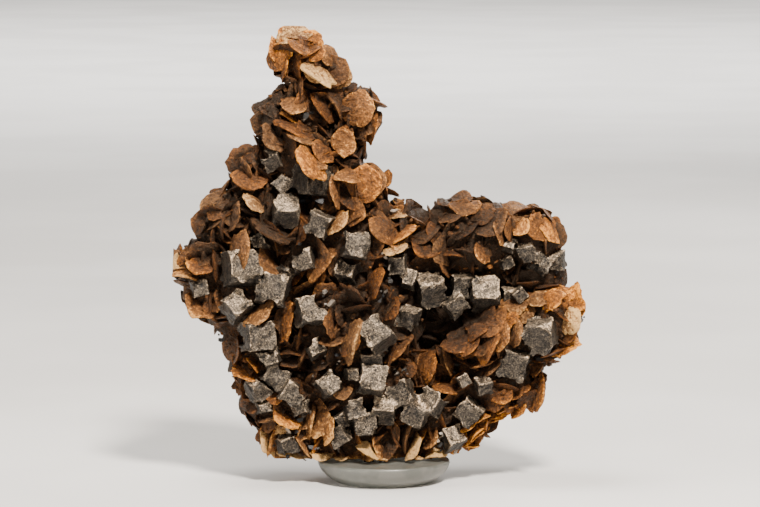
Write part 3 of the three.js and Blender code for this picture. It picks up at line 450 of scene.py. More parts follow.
# Rings of a blade's face: share of the way to its rim, and height there as a share of the
# middle's. Each close pair of rings is a growth step.
FINE_RINGS = [
    (0.24, 1), (0.28, 0.88), (0.5, 0.84), (0.54, 0.7), (0.74, 0.64), (0.78, 0.5), (0.92, 0.42), (1, 0),
]
PLAIN_RINGS = [(0.4, 0.92), (0.45, 0.74), (0.74, 0.62), (0.79, 0.48), (1, 0)]
FINE_AROUND = 30  # points in a ring
PLAIN_AROUND = 18
POINTEDNESS = (1.05, 1.5)  # 1 is an oval blade, and more draws its ends to a point
SADDLE = 0.45  # the most that a blade bends, as shares of its length
BEND = 0.3
MOST_CHIPS = 2
CHIP_DEPTH = (0.08, 0.26)  # shares of the way to the rim
CHIP_REACH = (0.12, 0.3)  # radians


def wave(rng, turn, crests, height, shift=0.0):
    """A wave with so many crests round a blade, which starts anywhere."""
    return height * np.sin(crests * turn + shift + rng.uniform(0, 6))


def rim_reach(rng, turn):
    """How far out the rim is at each angle: wavy, rough and chipped."""
    reach = 1 + wave(rng, turn, 2, 0.05) + wave(rng, turn, 5, 0.04)
    reach += rng.uniform(-0.05, 0.04, len(turn))
    for _ in range(rng.integers(0, MOST_CHIPS + 1)):
        away = np.abs((turn - rng.uniform(0, 2 * math.pi) + math.pi) % (2 * math.pi) - math.pi)
        reach -= rng.uniform(*CHIP_DEPTH) * fade(away, rng.uniform(*CHIP_REACH))
    return reach


def blade_side(rng, side, turn, edge_x, edge_y, rings):
    """Rings of points of a blade's upper (1) or lower (-1) face, from near the middle to the rim."""
    drift = 1 + wave(rng, turn, 3, 0.1) + rng.uniform(-0.05, 0.05, len(turn))
    found = []
    for ring, height in rings:
        out = ring if ring == 1 else ring * drift
        ripple = wave(rng, turn, 4, 0.05, 9 * ring)
        z = side * (height * (1 + ripple)) * BLADE_THICKNESS / 2
        found.append(np.stack([edge_x * out, edge_y * out, z], 1))
    return found


def blade_shape(rng, fine):
    """A lens-shaped crystal one unit long: its points, triangles and closeness to the rim."""
    rings, around = (FINE_RINGS, FINE_AROUND) if fine else (PLAIN_RINGS, PLAIN_AROUND)
    turn = directions(around)
    pointed = rng.uniform(*POINTEDNESS)
    reach = rim_reach(rng, turn)
    edge_x = 0.5 * np.cos(turn) * reach
    edge_y = BLADE_BREADTH * np.sign(np.sin(turn)) * np.abs(np.sin(turn)) ** pointed * reach
    upper = blade_side(rng, 1, turn, edge_x, edge_y, rings)
    lower = blade_side(rng, -1, turn, edge_x, edge_y, rings)[:-1]
    middles = [[0, 0, BLADE_THICKNESS / 2], [0, 0, -BLADE_THICKNESS / 2]]
    points = np.concatenate([middles, *upper, *lower[::-1]])
    shares = [ring for ring, _ in [*rings, *rings[-2::-1]]]
    rim = np.concatenate([[0, 0], np.repeat(shares, around)])
    saddle = rng.uniform(-SADDLE, SADDLE)
    bend = rng.uniform(-BEND, BEND)
    points[:, 2] += saddle * (points[:, 0] ** 2 - 1.4 * points[:, 1] ** 2) + bend * points[:, 0] ** 2
    return points, ring_faces(len(shares), around), rim


def basis(along, facing):
    """Rows: a blade's long axis, its breadth and its flat side's direction."""
    x = along / np.linalg.norm(along)
    z = facing - (facing @ x) * x
    z = z / np.linalg.norm(z)
    return np.stack([x, np.cross(z, x), z])


def tone_and_shade_gain(points):
    """How much paler the siderite is at each point, from the places near it. Where it is darker, the
    darkening is painted shade.
    """
    gain = np.zeros(len(points))
    for across, up, radius, more in TONE_AND_SHADE_PLACES:
        away = np.hypot(points[:, 0] - across, up_of(points[:, 2], points[:, 1]) - up)
        gain += more * np.clip(1.4 - away / radius, 0, 1)
    return gain


def hue_at(centre, rng):
    """A blade's colour family: 0 is orange and 1 is tan."""
    hue = rng.uniform(0, 1)
    for across, up, radius in ORANGE_PLACES:
        if math.hypot(centre[0] - across, up_of(centre[2], centre[1]) - up) < radius:
            hue *= 0.15
    return hue


def add_blade(heap, rng, centre, axes, length, tone, fine):
    """One blade into the heap, with its tone, its closeness to the rim and how deep it sits, which sets
    its painted shade.
    """
    points, faces, rim = blade_shape(rng, fine)
    placed = centre + (points * length) @ axes
    placed[:, 2] = np.maximum(placed[:, 2], BASE_Z)
    # How deep each point sits, for painted shade that darkens it near the core
    depth = np.clip(outness(placed) / PAINTED_SHADE_REACH, 0, 1)
    hue = 1 if tone > CREAM_TONE else hue_at(centre, rng)
    heap.add(placed, faces, tone=tone + tone_and_shade_gain(placed), rim=rim, depth=depth, hue=hue)


def upright(turn):
    """The direction that is turned by so many degrees in the front view."""
    angle = math.radians(turn)
    return np.array([math.cos(angle), 0, math.sin(angle)])


def listed_axes(length, width, turn):
    """Axes of a blade listed as seen from the front."""
    along = upright(turn)
    beside = np.array([-along[2], 0, along[0]])
    if beside[2] < 0:
        beside = -beside
    if width < 0:
        beside = -beside
    lean = math.acos(min(1, abs(width) / (2 * BLADE_BREADTH * length)))
    return basis(along, np.array([0, -math.cos(lean), 0]) + math.sin(lean) * beside)


# The lesser blades behind a listed one
BACKING_EVERY = 1.4  # millimetres that the listed one stands forward, for each more behind it
BACKING_STEP = 1.3  # millimetres from one to the next
BACKING_SWING = 28  # degrees
BACKING_LENGTH = (0.7, 0.9)  # shares of the listed one's
BACKING_WIDTH = (0.5, 1.1)
# painted shade: each lesser blade behind is this much darker in tone
BACKING_PAINTED_SHADE = 0.12


def add_listed(heap, rng, rows):
    """The blades read from the front view, each with lesser ones behind it down to the core."""
    for across, up, length, width, turn, out, tone in rows:
        y = seat_depth(across, up) - out
        centre = np.array([across, y, height_of(up, y)])
        add_blade(heap, rng, centre, listed_axes(length, width, turn), length, tone, True)
        for k in range(1 + int(out / BACKING_EVERY)):
            swing = turn + rng.uniform(-BACKING_SWING, BACKING_SWING)
            less = length * rng.uniform(*BACKING_LENGTH)
            back = BACKING_STEP * (k + 1)
            behind = centre + np.array([rng.uniform(-0.8, 0.8), back, rng.uniform(-0.6, 0.9)])
            axes = listed_axes(less, width * rng.uniform(*BACKING_WIDTH), swing)
            add_blade(heap, rng, behind, axes, less, tone - BACKING_PAINTED_SHADE, False)


def galena_tree():
    """All galena solids of the frame as one searchable surface, in millimetres."""
    points, faces = [], []
    for name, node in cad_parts.items():
        if not name.startswith("galena"):
            continue
        start = len(points)
        points += [v.co / MM for v in node.data.vertices]
        faces += [[start + v for v in p.vertices] for p in node.data.polygons]
    return BVHTree.FromPolygons(points, faces)


GALENA = galena_tree()
VIEW = Vector((0, math.cos(VIEW_DROP), -math.sin(VIEW_DROP)))


def near_galena(place, reach):
    """True if a galena crystal is within reach of a place."""
    return GALENA.find_nearest(Vector(place), reach)[0] is not None


def hides_galena(centre, axes, length):
    """True if a blade would stand in front of a galena crystal or run into one."""
    if near_galena(centre, CLEAR_OF_GALENA):
        return True
    for turn in directions(8):
        edge = np.array([0.5 * math.cos(turn), BLADE_BREADTH * math.sin(turn), 0]) * length * 0.85
        place = Vector(centre + edge @ axes)
        if GALENA.ray_cast(place, VIEW, HIDING_REACH)[0] is not None:
            return True
    return False


AREA_POWER = 1.6
NOT_BURIED = 0.96  # share of the way from another lump's middle to its skin
CLEAR_OF_BASE = 0.8


def surface_area(half):
    """Area of an ellipsoid with the given half sizes, by the usual close formula."""
    a, b, c = half**AREA_POWER
    return 4 * math.pi * ((a * b + a * c + b * c) / 3) ** (1 / AREA_POWER)


def lump_places(spacing):
    """Evenly spread places on the core's surface, their outward directions and a number for each."""
    found = []
    for n, lump in enumerate(LUMPS):
        middle, half = lump[:3], lump[3:]
        count = int(round(surface_area(half) / spacing**2))
        for i in range(count):
            height = 1 - (2 * i + 1) / count
            ring = math.sqrt(1 - height * height)
            swing = i * GOLDEN_ANGLE + n
            d = np.array([ring * math.cos(swing), ring * math.sin(swing), height])
            out = d / half
            out = out / np.linalg.norm(out)
            place = middle + d * half
            reach = np.linalg.norm((place - LUMPS[:, :3]) / LUMPS[:, 3:], axis=1)
            reach[n] = np.inf
            if reach.min() > NOT_BURIED and place[2] > BASE_Z + CLEAR_OF_BASE:
                found.append((place, out, n * 1000 + i))
    return found


def tangent_axes(out, swing, lean):
    """Axes of a blade on a surface facing `out`: its turn in the surface and its lean from lying flat."""
    level = np.cross([0, 0, 1], out)
    level = level / np.linalg.norm(level)
    steep = np.cross(out, level)
    along = level * math.cos(swing) + steep * math.sin(swing)
    across = np.cross(out, along)
    return basis(along, out * math.cos(lean) + across * math.sin(lean))


# Borders between the siderite's pieces
REAR_Y = 3.5
REAR_SPLIT_X = -8
RIGHT_X = 8
TOWER_Z = 58
LEFT_X = -19


def region_of(place):
    """The siderite piece that a blade between the listed ones belongs to."""
    x, y, z = place
    if y > REAR_Y:
        return "siderite_rear_left" if x < REAR_SPLIT_X else "siderite_rear_right"
    if x > RIGHT_X:
        return "siderite_right"
    if z > TOWER_Z:
        return "siderite_tower"
    return "siderite_left" if x < LEFT_X else "siderite_middle"


def add_fillers(heaps, rng):
    """Blades between the listed ones and all over the sides and the back."""
    for place, out, k in lump_places(FRONT_SPACING):
        rear = out[1] > 0.25
        if rear and scatter(k + 0.7) > (FRONT_SPACING / REAR_SPACING) ** 2:
            continue
        at_outline = abs(out[1]) < 0.5
        at_foot = place[2] < FOOT_TOP and out[1] < -0.2
        swings = FOOT_SWING if at_foot else (0, 2 * math.pi)
        leans = FOOT_LEAN if at_foot else OUTLINE_LEAN if at_outline else FACE_LEAN
        for _ in range(FILLER_TRIES):
            length = rng.uniform(*FILLER_LENGTH) * (OUTLINE_LENGTH if at_outline else 1)
            swing = rng.uniform(*swings)
            axes = tangent_axes(out, swing, math.radians(rng.uniform(*leans)))
            centre = place + out * rng.uniform(*FILLER_SEAT)
            if rear or not hides_galena(centre, axes, length):
                break
        else:
            continue
        tone = rng.uniform(*FILLER_TONES)
        add_blade(heaps[region_of(place)], rng, centre, axes, length, tone, False)


def siderite_pieces(material):
    """The siderite's blades, parted by place."""
    rng = np.random.default_rng(SEED)
    heaps = {name: Heap() for name in [*REGIONS, "siderite_rear_left", "siderite_rear_right"]}
    for name, rows in REGIONS.items():
        add_listed(heaps[name], rng, rows)
    add_fillers(heaps, rng)
    return [heap.build(name, material) for name, heap in heaps.items()]


def grain_shape(rng):
    """An angular chip about one unit across: its points and triangles."""
    points, faces = ball(1)
    points = points * rng.uniform(0.75, 1.2, (len(points), 1)) * 0.5
    flat = np.array([1, rng.uniform(0.5, 1), rng.uniform(0.25, 0.7)])
    turn = np.linalg.qr(rng.normal(size=(3, 3)))[0]
    turn[2] = np.cross(turn[0], turn[1])
    return (points * flat) @ turn, faces


def siderite_grains(material):
    """Chips and small crystals between the blades, clear of the galena and of the outline."""
    rng = np.random.default_rng(SEED + 1)
    heap = Heap()
    least, most = GRAIN_SIZE
    for place, out, _ in lump_places(GRAIN_SPACING):
        centre = place + out * rng.uniform(-0.4, 0.9) + rng.normal(0, 0.3, 3)
        size = least + (most - least) * rng.uniform() ** 2
        tone = rng.uniform(*GRAIN_TONES)
        at_outline = abs(out[1]) < 0.35
        if at_outline or centre[2] < BASE_Z + size or near_galena(centre, 0.6 * size):
            continue
        points, faces = grain_shape(rng)
        # How deep the chip sits, for painted shade near the core
        depth = np.clip(0.3 + outness(centre[None])[0] / PAINTED_SHADE_REACH, 0, 1)
        rim = rng.uniform(0.4, 1)
        placed = centre + points * size
        heap.add(placed, faces, tone=tone, rim=rim, depth=depth, hue=hue_at(centre, rng))
    return heap.build("siderite_grains", material, 20)


def ball(subdivisions):
    """Points and triangles of a unit ball."""
    bm = bmesh.new()
    bmesh.ops.create_icosphere(bm, subdivisions=subdivisions, radius=1)
    points = np.array([v.co for v in bm.verts])
    faces = np.array([[v.index for v in f.verts] for f in bm.faces])
    bm.free()
    return points, faces


def triples(items, key, kind):
    """Three numbers of each item of a mesh, as rows."""
    values = np.empty(len(items) * 3, kind)
    items.foreach_get(key, values)
    return values.reshape(-1, 3)


def remeshed(obj, voxel):
    """Points, normals and triangles of an object's skin, rebuilt with even cells, in millimetres."""
    modifier = obj.modifiers.new("skin", "REMESH")
    modifier.mode = "VOXEL"
    modifier.voxel_size = voxel * MM
    graph = bpy.context.evaluated_depsgraph_get()
    mesh = bpy.data.meshes.new_from_object(obj.evaluated_get(graph))
    mesh.calc_loop_triangles()
    points = triples(mesh.vertices, "co", float)
    normals = triples(mesh.vertices, "normal", float)
    faces = triples(mesh.loop_triangles, "vertices", int)
    bpy.data.meshes.remove(mesh)
    bpy.data.objects.remove(obj)
    return points / MM, normals, faces


def siderite_core(material):
    """The rough mass that the blades grow from, broken off flat and pale below. It is kept dark as painted
    shade between the blades.
    """
    points, faces = ball(3)
    lumps = Heap()
    for lump in np.concatenate([LUMPS * LUMP_SHRINK, INNER_LUMPS]):
        lumps.add(lump[:3] + points * lump[3:], faces)
    skin, normals, faces = remeshed(bare_object("loose", *lumps.joined()), CORE_VOXEL)
    push = 0.5 * noise(skin, 2.6, 1) + 0.35 * noise(skin, 1.1, 2)
    skin = skin + normals * push[:, None]
    skin[:, 2] = np.maximum(skin[:, 2], BASE_Z + 0.12 * (noise(skin, 1.3, 3) + 1))
    rim = np.clip(0.5 + 0.5 * noise(skin, 1.5, 4), 0, 1)
    pale = np.clip(1 - (skin[:, 2] - BASE_Z) / PALE_FOOT_HEIGHT, 0, 1)
    # A low tone and a low depth value: painted shade in the gaps between the blades, paler at the broken
    # foot
    tone = 0.26 + 0.7 * pale + 0.4 * tone_and_shade_gain(skin)
    core = Heap()
    core.add(skin, faces, tone=tone, rim=rim, depth=0.45 + 0.55 * pale, hue=0.5)
    return core.build("siderite_core", material)


EDGE_STEP = 0.25
FLAT_COSINE = 0.94  # faces that meet more evenly than this make no edge


def edge_samples(mesh):
    """Points along the sharp edges of a mesh and the edges' ends, in millimetres."""
    faces_of = {}
    for polygon in mesh.polygons:
        for key in polygon.edge_keys:
            a, b = (tuple(round(c / MM, 3) for c in mesh.vertices[v].co) for v in key)
            faces_of.setdefault((min(a, b), max(a, b)), []).append(polygon.normal)
    found, ends = [], []
    for (a, b), normals in faces_of.items():
        if len(normals) == 2 and normals[0].dot(normals[1]) > FLAT_COSINE:
            continue
        ends += [a, b]
        a, b = np.array(a), np.array(b)
        count = max(2, int(np.linalg.norm(b - a) / EDGE_STEP))
        found += [a + (b - a) * k / count for k in range(count + 1)]
    return found, ends


def distances(points, places):
    """From each point to the nearest of the places."""
    tree = KDTree(len(places))
    for k, place in enumerate(places):
        tree.insert(place, k)
    tree.balance()
    return np.array([tree.find(p)[2] for p in points])


def bitten(points, bites):
    """Points drawn towards the crystal's middle where a bite goes through them, as seen from the front."""
    up = up_of(points[:, 2], points[:, 1])
    for across, height, radius in bites:
        inward = np.array([points[:, 0].mean() - across, up.mean() - height])
        inward = inward / np.linalg.norm(inward)
        aside = np.stack([points[:, 0] - across, up - height], 1)
        inside = np.linalg.norm(aside, axis=1) < radius
        aside = aside[inside]
        done = aside @ inward
        move = np.sqrt(done**2 + radius**2 - (aside**2).sum(1)) - done
        move = np.minimum(move, radius)
        points[inside, 0] += move * inward[0]
        points[inside, 2] += move * inward[1]
        up[inside] += move * inward[1]
    return points


FACET_LENGTHS = (0.85, 0.425, 0.34)  # of a plate and the two beside it, as shares of the listed size
FACET_FORWARD = 1.4  # millimetres
FACET_TOP = [0, 0, 0.1]  # a plate's two faces, as shares of its length
FACET_UNDERSIDE = [0, 0, -0.3]
FACET_CORNERS = 6
# Facets elsewhere have their painted reflection dimmed by the share below.
BRIGHT_FOOT = (10, 12)  # facets right of the first and below the second keep their full tone
DIMMED_REFLECTION = 0.66


def facet_piece(material):
    """Thin cleaved plates of galena, each with two smaller ones beside it."""
    rng = np.random.default_rng(SEED + 2)
    heap = Heap()
    turn = directions(FACET_CORNERS)
    for across, up, size, swing, wide, tone in FACETS:
        bright = across > BRIGHT_FOOT[0] and up < BRIGHT_FOOT[1]
        for k, share in enumerate(FACET_LENGTHS):
            y = seat_depth(across, up) - FACET_FORWARD - rng.uniform(0, 0.5)
            aside = rng.normal(0, 0.35 * size, 2) * (k > 0)
            centre = np.array([across + aside[0], y + 0.3 * k, height_of(up + aside[1], y)])
            if near_galena(centre, 0.2):
                continue
            along = upright(swing + rng.uniform(-60, 60) * (k > 0))
            axes = basis(along, GLEAM + rng.normal(0, 0.25 + 0.1 * k, 3))
            outline = np.stack([0.5 * np.cos(turn), 0.5 * wide * np.sin(turn), 0 * turn], 1)
            outline *= rng.uniform(0.4, 1.2, (FACET_CORNERS, 1))
            rings = [outline + FACET_TOP, outline * 0.9 + FACET_UNDERSIDE]
            plate = np.concatenate([[FACET_TOP, FACET_UNDERSIDE], *rings]) * size * share
            shade = min(1, max(0, tone + rng.uniform(-0.4, 0.1) * (k > 0)))
            shade *= 1 if bright else DIMMED_REFLECTION
            heap.add(centre + plate @ axes, ring_faces(2, FACET_CORNERS), tone=shade)
    return heap.build("galena_facets", material, 10)


PAINTED_LIGHT_SIDE = np.array([0.1, -0.55, 0.83])  # painted light: galena faces turned this way are the palest, and faces turned away darker
GROWTH_STEP = 2.6  # steps in each unit of noise


def etching(points, edges, corners):
    """How galena's faces are etched: how far each point moves out, its rim and its pits, whose value
    darkens them as painted shade.
    """
    away = distances(points, edges)
    rim = fade(away, 0.4)
    inner = 1 - fade(away, 0.7)
    between = np.clip(distances(points, corners) / 2.2, 0, 1)
    sunk = between * fade(away, 1.1) * np.clip(0.45 + noise(points, 3.4, 10), 0, 1)
    broken = np.clip(2.2 * noise(points, 1.6, 5) - 0.35, 0, 1) * fade(away, 0.9)
    pits = np.clip(noise(points, 0.8, 6) - 0.25, 0, 1) * inner
    steps = np.round(noise(points, 2.6, 7) * GROWTH_STEP) / GROWTH_STEP * inner
    push = 0.12 * rim * (0.5 + noise(points, 0.6, 8)) - 0.8 * sunk - 0.9 * broken
    push += -0.22 * pits + 0.16 * steps - 0.1 * inner + 0.05 * noise(points, 0.45, 9)
    return push, rim, np.clip(pits * 2.5, 0, 1)


def galena_piece(name, node, material):
    """A galena node's solid with etched faces, raised rims and a broken line along its edges."""
    edges, corners = edge_samples(node.data)
    points, normals, faces = remeshed(add_object("loose", node.data.copy()), GALENA_VOXEL)
    push, rim, pit = etching(points, edges, corners)
    bites = BITES.get(name.removeprefix("galena_"), [])
    points = bitten(points + normals * push[:, None], bites)
    # painted highlight along the edges, in patches
    patchy_edge_highlight = rim * np.clip(0.55 + noise(points, 1.3, 11), 0, 1)
    # painted light on the faces turned up and forward
    upper = np.clip(normals @ PAINTED_LIGHT_SIDE, 0, 1) ** 2
    heap = Heap()
    heap.add(points, faces, rim=patchy_edge_highlight, pit=pit, upper=upper)
    piece = heap.build(name + "_crystals", material, 38)
    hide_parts(name)
    return piece


# Materials


class Nodes:
    """Short calls for making a material's nodes."""

    def __init__(self, name):
        self.material = bpy.data.materials.new(name)
        self.material.use_nodes = True
        self.tree = self.material.node_tree
        self.shader = self.tree.nodes["Principled BSDF"]
        coordinates = self.make("ShaderNodeTexCoord").outputs["Object"]
        millimetres = {"Vector": coordinates, "Scale": [1 / MM] * 3}
        self.place = self.make("ShaderNodeMapping", millimetres).outputs["Vector"]

    def make(self, kind, inputs=None, **settings):
        node = self.tree.nodes.new(kind)
        for key, value in settings.items():
            setattr(node, key, value)
        for key, value in (inputs or {}).items():
            self.put(node.inputs[key], value)
        return node

    def put(self, socket, value):
        if isinstance(value, bpy.types.NodeSocket):
            self.tree.links.new(value, socket)
        else:
            socket.default_value = value

    def math(self, operation, a, b):
        return self.make("ShaderNodeMath", {0: a, 1: b}, operation=operation).outputs[0]

    def tone(self, first, *others):
        """A value and others, each with the low and the high that it is spread to, added up."""
        tone = first
        for value, low, high in others:
            tone = self.math("ADD", tone, self.spread(value, low, high))
        return tone

    def value(self, name):
        """A value that the mesh holds at each point."""
        return self.make("ShaderNodeAttribute", attribute_name=name).outputs["Fac"]

    def noise(self, scale, detail=3, rough=0.55):
        """Cloudy noise stretched to use the whole range from 0 to 1."""
        inputs = {"Vector": self.place, "Scale": scale, "Detail": detail, "Roughness": rough}
        cloud = self.make("ShaderNodeTexNoise", inputs).outputs["Fac"]
        inputs = {"Value": cloud, "From Min": 0.3, "From Max": 0.7}
        return self.make("ShaderNodeMapRange", inputs).outputs["Result"]

    def cells(self, scale):
        """An even random value from 0 to 1 for each small angular cell."""
        inputs = {"Vector": self.place, "Scale": scale}
        colour = self.make("ShaderNodeTexVoronoi", inputs).outputs["Color"]
        return self.make("ShaderNodeSeparateColor", {"Color": colour}).outputs["Red"]

    def rare(self, value, share):
        """1 where an even 0 to 1 value is among its highest, a given share of all, and 0 elsewhere."""
        return self.math("GREATER_THAN", value, 1 - share)

    def mix(self, share, a, b):
        """A colour between two. A mix node's sockets for colours are its 6 and 7, and 2 is the result."""
        return self.make("ShaderNodeMix", {0: share, 6: a, 7: b}, data_type="RGBA").outputs[2]

    def ramp(self, value, stops):
        """A colour for each value, between listed stops."""
        node = self.make("ShaderNodeValToRGB", {"Fac": value})
        elements = node.color_ramp.elements
        while len(elements) < len(stops):
            elements.new(0.5)
        for element, (place, colour) in zip(elements, stops):
            element.position = place
            element.color = (*colour, 1)
        return node.outputs["Color"]

    def spread(self, value, low, high):
        """A 0 to 1 value spread from low to high."""
        inputs = {"Value": value, "To Min": low, "To Max": high}
        return self.make("ShaderNodeMapRange", inputs).outputs["Result"]

    def bump(self, height, strength, distance, below=None):
        """Relief of a height map, its distance in millimetres, laid on another relief."""
        inputs = {"Height": height, "Strength": strength, "Distance": distance * MM}
        if below is not None:
            inputs["Normal"] = below
        return self.make("ShaderNodeBump", inputs).outputs["Normal"]

    def set(self, **inputs):
        """Sets the shader's inputs, named with low lines for spaces, and gives the material."""
        for key, value in inputs.items():
            self.put(self.shader.inputs[key.replace("_", " ")], value)
        return self.material


RUST_TONES = [
    (0, (0.01, 0.0044, 0.0024)),
    (0.25, (0.034, 0.012, 0.004)),
    (0.45, (0.08, 0.0265, 0.0062)),
    (0.62, (0.142, 0.049, 0.01)),
    (0.8, (0.28, 0.085, 0.009)),
    (1, (0.68, 0.27, 0.032)),
]
TAN_TONES = [
    (0, (0.011, 0.0065, 0.0043)),
    (0.25, (0.036, 0.0175, 0.0085)),
    (0.45, (0.08, 0.037, 0.015)),
    (0.62, (0.136, 0.065, 0.025)),
    (0.8, (0.24, 0.122, 0.047)),
    (1, (0.56, 0.36, 0.155)),
]


def siderite_material():
    """Brown crystal, orange or tan by its hue, paler at the rims and darker near the core. The paler rims
    are partly painted glow of light through thin edges, the darker core is painted shade, and rare pale
    specks are painted glints.
    """
    n = Nodes("siderite_blades")
    coarse = n.noise(0.35)
    blotch = n.noise(0.9, 5, 0.6)
    fine = n.noise(2.2, 4, 0.7)
    fleck = n.cells(2.6)
    # painted highlights: rare pale specks
    painted_glint = n.rare(n.cells(4), 0.04)
    tone = n.tone(
        n.value("tone"),
        (coarse, -0.08, 0.09),
        (blotch, -0.17, 0.13),
        (fine, -0.18, 0.18),
        (fleck, -0.14, 0.14),
        (painted_glint, 0.0, 0.17),
        # paler rims: partly painted glow of light through the thin edges
        (n.math("POWER", n.value("rim"), 7.0), -0.04, 0.2),
        # painted shade: darker where the point sits deep, near the core
        (n.value("depth"), -0.24, 0.0),
    )
    rust, tan = n.ramp(tone, RUST_TONES), n.ramp(tone, TAN_TONES)
    grain = n.bump(fleck, 0.5, 0.1)
    relief = n.bump(blotch, 0.9, 0.5, n.bump(fine, 0.8, 0.25, grain))
    return n.set(
        Base_Color=n.mix(n.spread(n.value("hue"), 0.0, 0.85), rust, tan),
        Roughness=n.spread(fine, 0.34, 0.75),
        Normal=relief,
        Specular_IOR_Level=0.35,
        Specular_Tint=(1, 0.8, 0.6, 1),
    )


GALENA_TONES = [
    (0, (0.006, 0.0047, 0.0035)),
    (0.35, (0.04, 0.032, 0.024)),
    (0.65, (0.12, 0.093, 0.065)),
    (1, (0.62, 0.46, 0.3)),
]


def galena_material():
    """Etched galena: grainy, pale on its rims and upper faces, with dark pits. The pale rims are painted
    highlight, the pale upper faces painted light, and the dark pits painted shade.
    """
    n = Nodes("galena_etched")
    grain = n.noise(4.2, 3, 0.7)
    cloud = n.noise(0.4, 2)
    fleck = n.cells(4.6)
    # painted shade: rare dark specks, as of small pits
    pit_shade_specks = n.rare(n.cells(3), 0.07)
    tone = n.tone(
        n.spread(grain, 0.19, 0.67),
        (cloud, -0.08, 0.08),
        (fleck, -0.24, 0.24),
        # painted highlight: paler along the edges
        (n.value("rim"), -0.04, 0.34),
        # painted light: paler upper faces, darker faces turned away
        (n.value("upper"), -0.14, 0.28),
        (pit_shade_specks, 0.0, -0.5),
        # painted shade in the pits
        (n.value("pit"), 0.0, -0.25),
    )
    relief = n.bump(grain, 0.5, 0.12, n.bump(fleck, 0.4, 0.06))
    return n.set(
        Base_Color=n.ramp(tone, GALENA_TONES),
        Metallic=0.62,
        Roughness=n.spread(grain, 0.38, 0.6),
        Normal=relief,
    )


# Colours of the painted reflection, from black to gleaming
FACET_REFLECTION_TONES = [
    (0, (0.004, 0.004, 0.005)),
    (0.4, (0.046, 0.042, 0.038)),
    (0.75, (0.34, 0.27, 0.2)),
    (1, (0.85, 0.78, 0.68)),
]


def facet_material():
    """Freshly cleaved galena, black or gleaming: its tone is a painted reflection."""
    n = Nodes("galena_cleaved")
    grain = n.noise(2.5)
    tone = n.tone(n.value("tone"), (grain, -0.15, 0.05))
    return n.set(
        Base_Color=n.ramp(tone, FACET_REFLECTION_TONES),
        Metallic=0.5,
        Roughness=n.spread(grain, 0.34, 0.52),
        Normal=n.bump(grain, 0.4, 0.05),
    )


def pad_material():
    """Frosted clear plastic of a greyish green."""
    n = Nodes("display_pad_clear")
    haze = n.noise(0.25, 2)
    scratch = n.noise(3)
    return n.set(
        Base_Color=n.ramp(haze, [(0.3, (0.22, 0.225, 0.20)), (0.7, (0.32, 0.315, 0.28))]),
        Roughness=n.spread(scratch, 0.28, 0.42),
        Normal=n.bump(scratch, 0.15, 0.05),
        IOR=1.49,
        Transmission_Weight=0.7,
    )


def floor_material():
    """A plain pale floor."""
    n = Nodes("studio_floor")
    cloud = n.noise(0.01, 2)
    return n.set(
        Base_Color=n.ramp(cloud, [(0.3, (0.56, 0.55, 0.54)), (0.7, (0.60, 0.59, 0.58))]),
        Roughness=n.spread(cloud, 0.7, 0.8),
    )


PAD_FOOT_LIFT = 0.03  # the edge of the pad's foot is eased by this much
PAD_DISH = 0.08
PAD_AROUND = 120
PAD_SIDE_STEPS = 14
PAD_LIP_STEPS = 6


def pad_profile():
    """Radius and height along the pad's outline, from its foot up the side and in over its top."""
    profile = [(PAD_FOOT_RADIUS * 0.5, 0), (PAD_FOOT_RADIUS - 0.5, 0), (PAD_FOOT_RADIUS, PAD_FOOT_LIFT)]
    for k in range(1, PAD_SIDE_STEPS + 1):
        t = k / PAD_SIDE_STEPS
        a, b, c = (1 - t) ** 2, 2 * t * (1 - t), t * t
        r = a * PAD_FOOT_RADIUS + b * (PAD_RADIUS - 0.6) + c * PAD_RADIUS
        z = b * PAD_HEIGHT * 0.35 + c * (PAD_HEIGHT - PAD_LIP) + a * PAD_FOOT_LIFT
        profile.append((r, z))
    for k in range(1, PAD_LIP_STEPS + 1):
        angle = k * math.pi / 2 / PAD_LIP_STEPS
        r = PAD_RADIUS - PAD_LIP * (1 - math.cos(angle))
        profile.append((r, PAD_HEIGHT - PAD_LIP * (1 - math.sin(angle))))
    return profile + [(PAD_RADIUS - 1.2, PAD_HEIGHT - 0.05), (PAD_RADIUS * 0.6, PAD_HEIGHT - PAD_DISH)]


def pad_piece(material):
    """The clear puck: its side rounds in to a flat foot, and its top is slightly dished."""
    turn = directions(PAD_AROUND)
    x, y = np.cos(turn), np.sin(turn)
    rings = [np.stack([r * x, r * y, np.full(PAD_AROUND, z)], 1) for r, z in pad_profile()]
    points = np.concatenate([[[0, 0, PAD_HEIGHT - PAD_DISH], [0, 0, 0]], *rings[::-1]])
    heap = Heap()
    heap.add(points, ring_faces(len(rings), PAD_AROUND))
    piece = heap.build("display_pad_puck", material, 40)
    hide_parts("display_pad")
    return piece


# Floor, light and camera


def area_light(name, place, target, size, watts, colour):
    """A round light that faces a target, in metres."""
    data = bpy.data.lights.new(name, "AREA")
    data.shape = "DISK"
    data.size = size
    data.energy = watts
    data.color = colour
    light = add_object(name, data)
    light.location = place
    light.rotation_euler = (Vector(target) - Vector(place)).to_track_quat("-Z", "Y").to_euler()


FLOOR_HALF = 3000


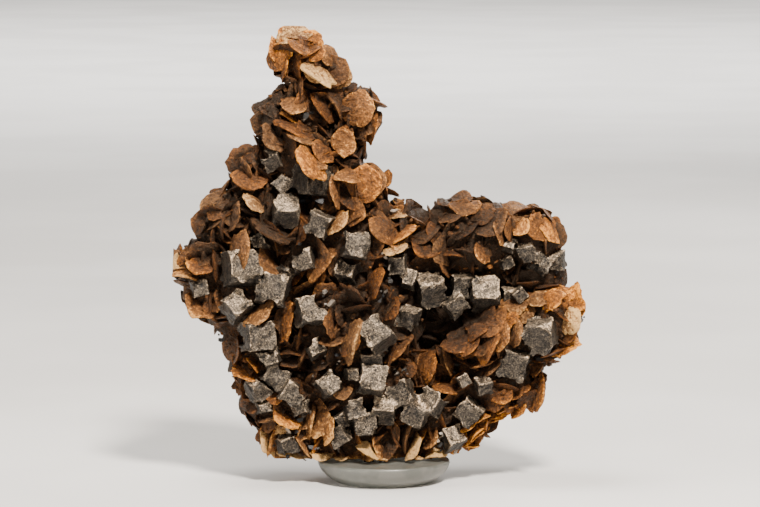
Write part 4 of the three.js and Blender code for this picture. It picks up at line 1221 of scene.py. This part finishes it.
def floor_piece(material):
    corners = np.array([(-1, -1, 0), (1, -1, 0), (1, 1, 0), (-1, 1, 0)])
    floor = bare_object("floor", corners * FLOOR_HALF, np.array([[0, 1, 2, 3]]))
    floor.data.materials.append(material)


def lights():
    """A small warm key light from the front, softer ones round it, and one for the floor behind."""
    middle = (-0.003, 0, 0.045)
    area_light("key", (0.13, -0.38, 0.48), middle, 0.1, 12.5, (1, 0.92, 0.82))
    area_light("top", (-0.14, 0.02, 0.6), middle, 0.25, 4, (1, 0.95, 0.88))
    area_light("fill", (-0.5, -0.5, 0.2), middle, 0.4, 1.6, (1, 0.97, 0.94))
    area_light("rear", (0.25, 0.5, 0.35), middle, 0.4, 3, (1, 0.95, 0.88))
    area_light("backdrop", (0, 1.5, 1), (0, 2.2, 0), 1.4, 55, (1, 0.98, 0.95))
    world = bpy.data.worlds.new("studio")
    world.use_nodes = True
    background = world.node_tree.nodes["Background"].inputs
    background["Color"].default_value = (0.90, 0.86, 0.80, 1)
    background["Strength"].default_value = 0.5
    bpy.context.scene.world = world


VIEW_UP = 46.7  # the middle of the view, up from the pad's front edge


def camera():
    """The photograph's view: 6 degrees above the horizon, 152 mm across at the specimen."""
    view_width = 0.152
    data = bpy.data.cameras.new("camera")
    data.lens = 180
    data.sensor_width = 36
    distance = view_width * data.lens / data.sensor_width
    target = Vector((-0.0008, 0, height_of(VIEW_UP, 0) * MM))
    data.clip_start, data.clip_end = 0.01, 20
    obj = add_object("camera", data)
    obj.location = target - VIEW * distance
    obj.rotation_euler = VIEW.to_track_quat("-Z", "Y").to_euler()
    bpy.context.scene.camera = obj


def main():
    blades = siderite_material()
    for piece in [*siderite_pieces(blades), siderite_core(blades), siderite_grains(blades)]:
        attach(piece, "root")
        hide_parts("siderite")
    etched = galena_material()
    for name, node in sorted(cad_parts.items()):
        if name.startswith("galena"):
            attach(galena_piece(name, node, etched), "root")
    facets = facet_piece(facet_material())
    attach(facets, "root")
    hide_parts("galena_broken_left", "galena_broken_right")
    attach(pad_piece(pad_material()), "root")
    floor_piece(floor_material())
    lights()
    camera()


main()
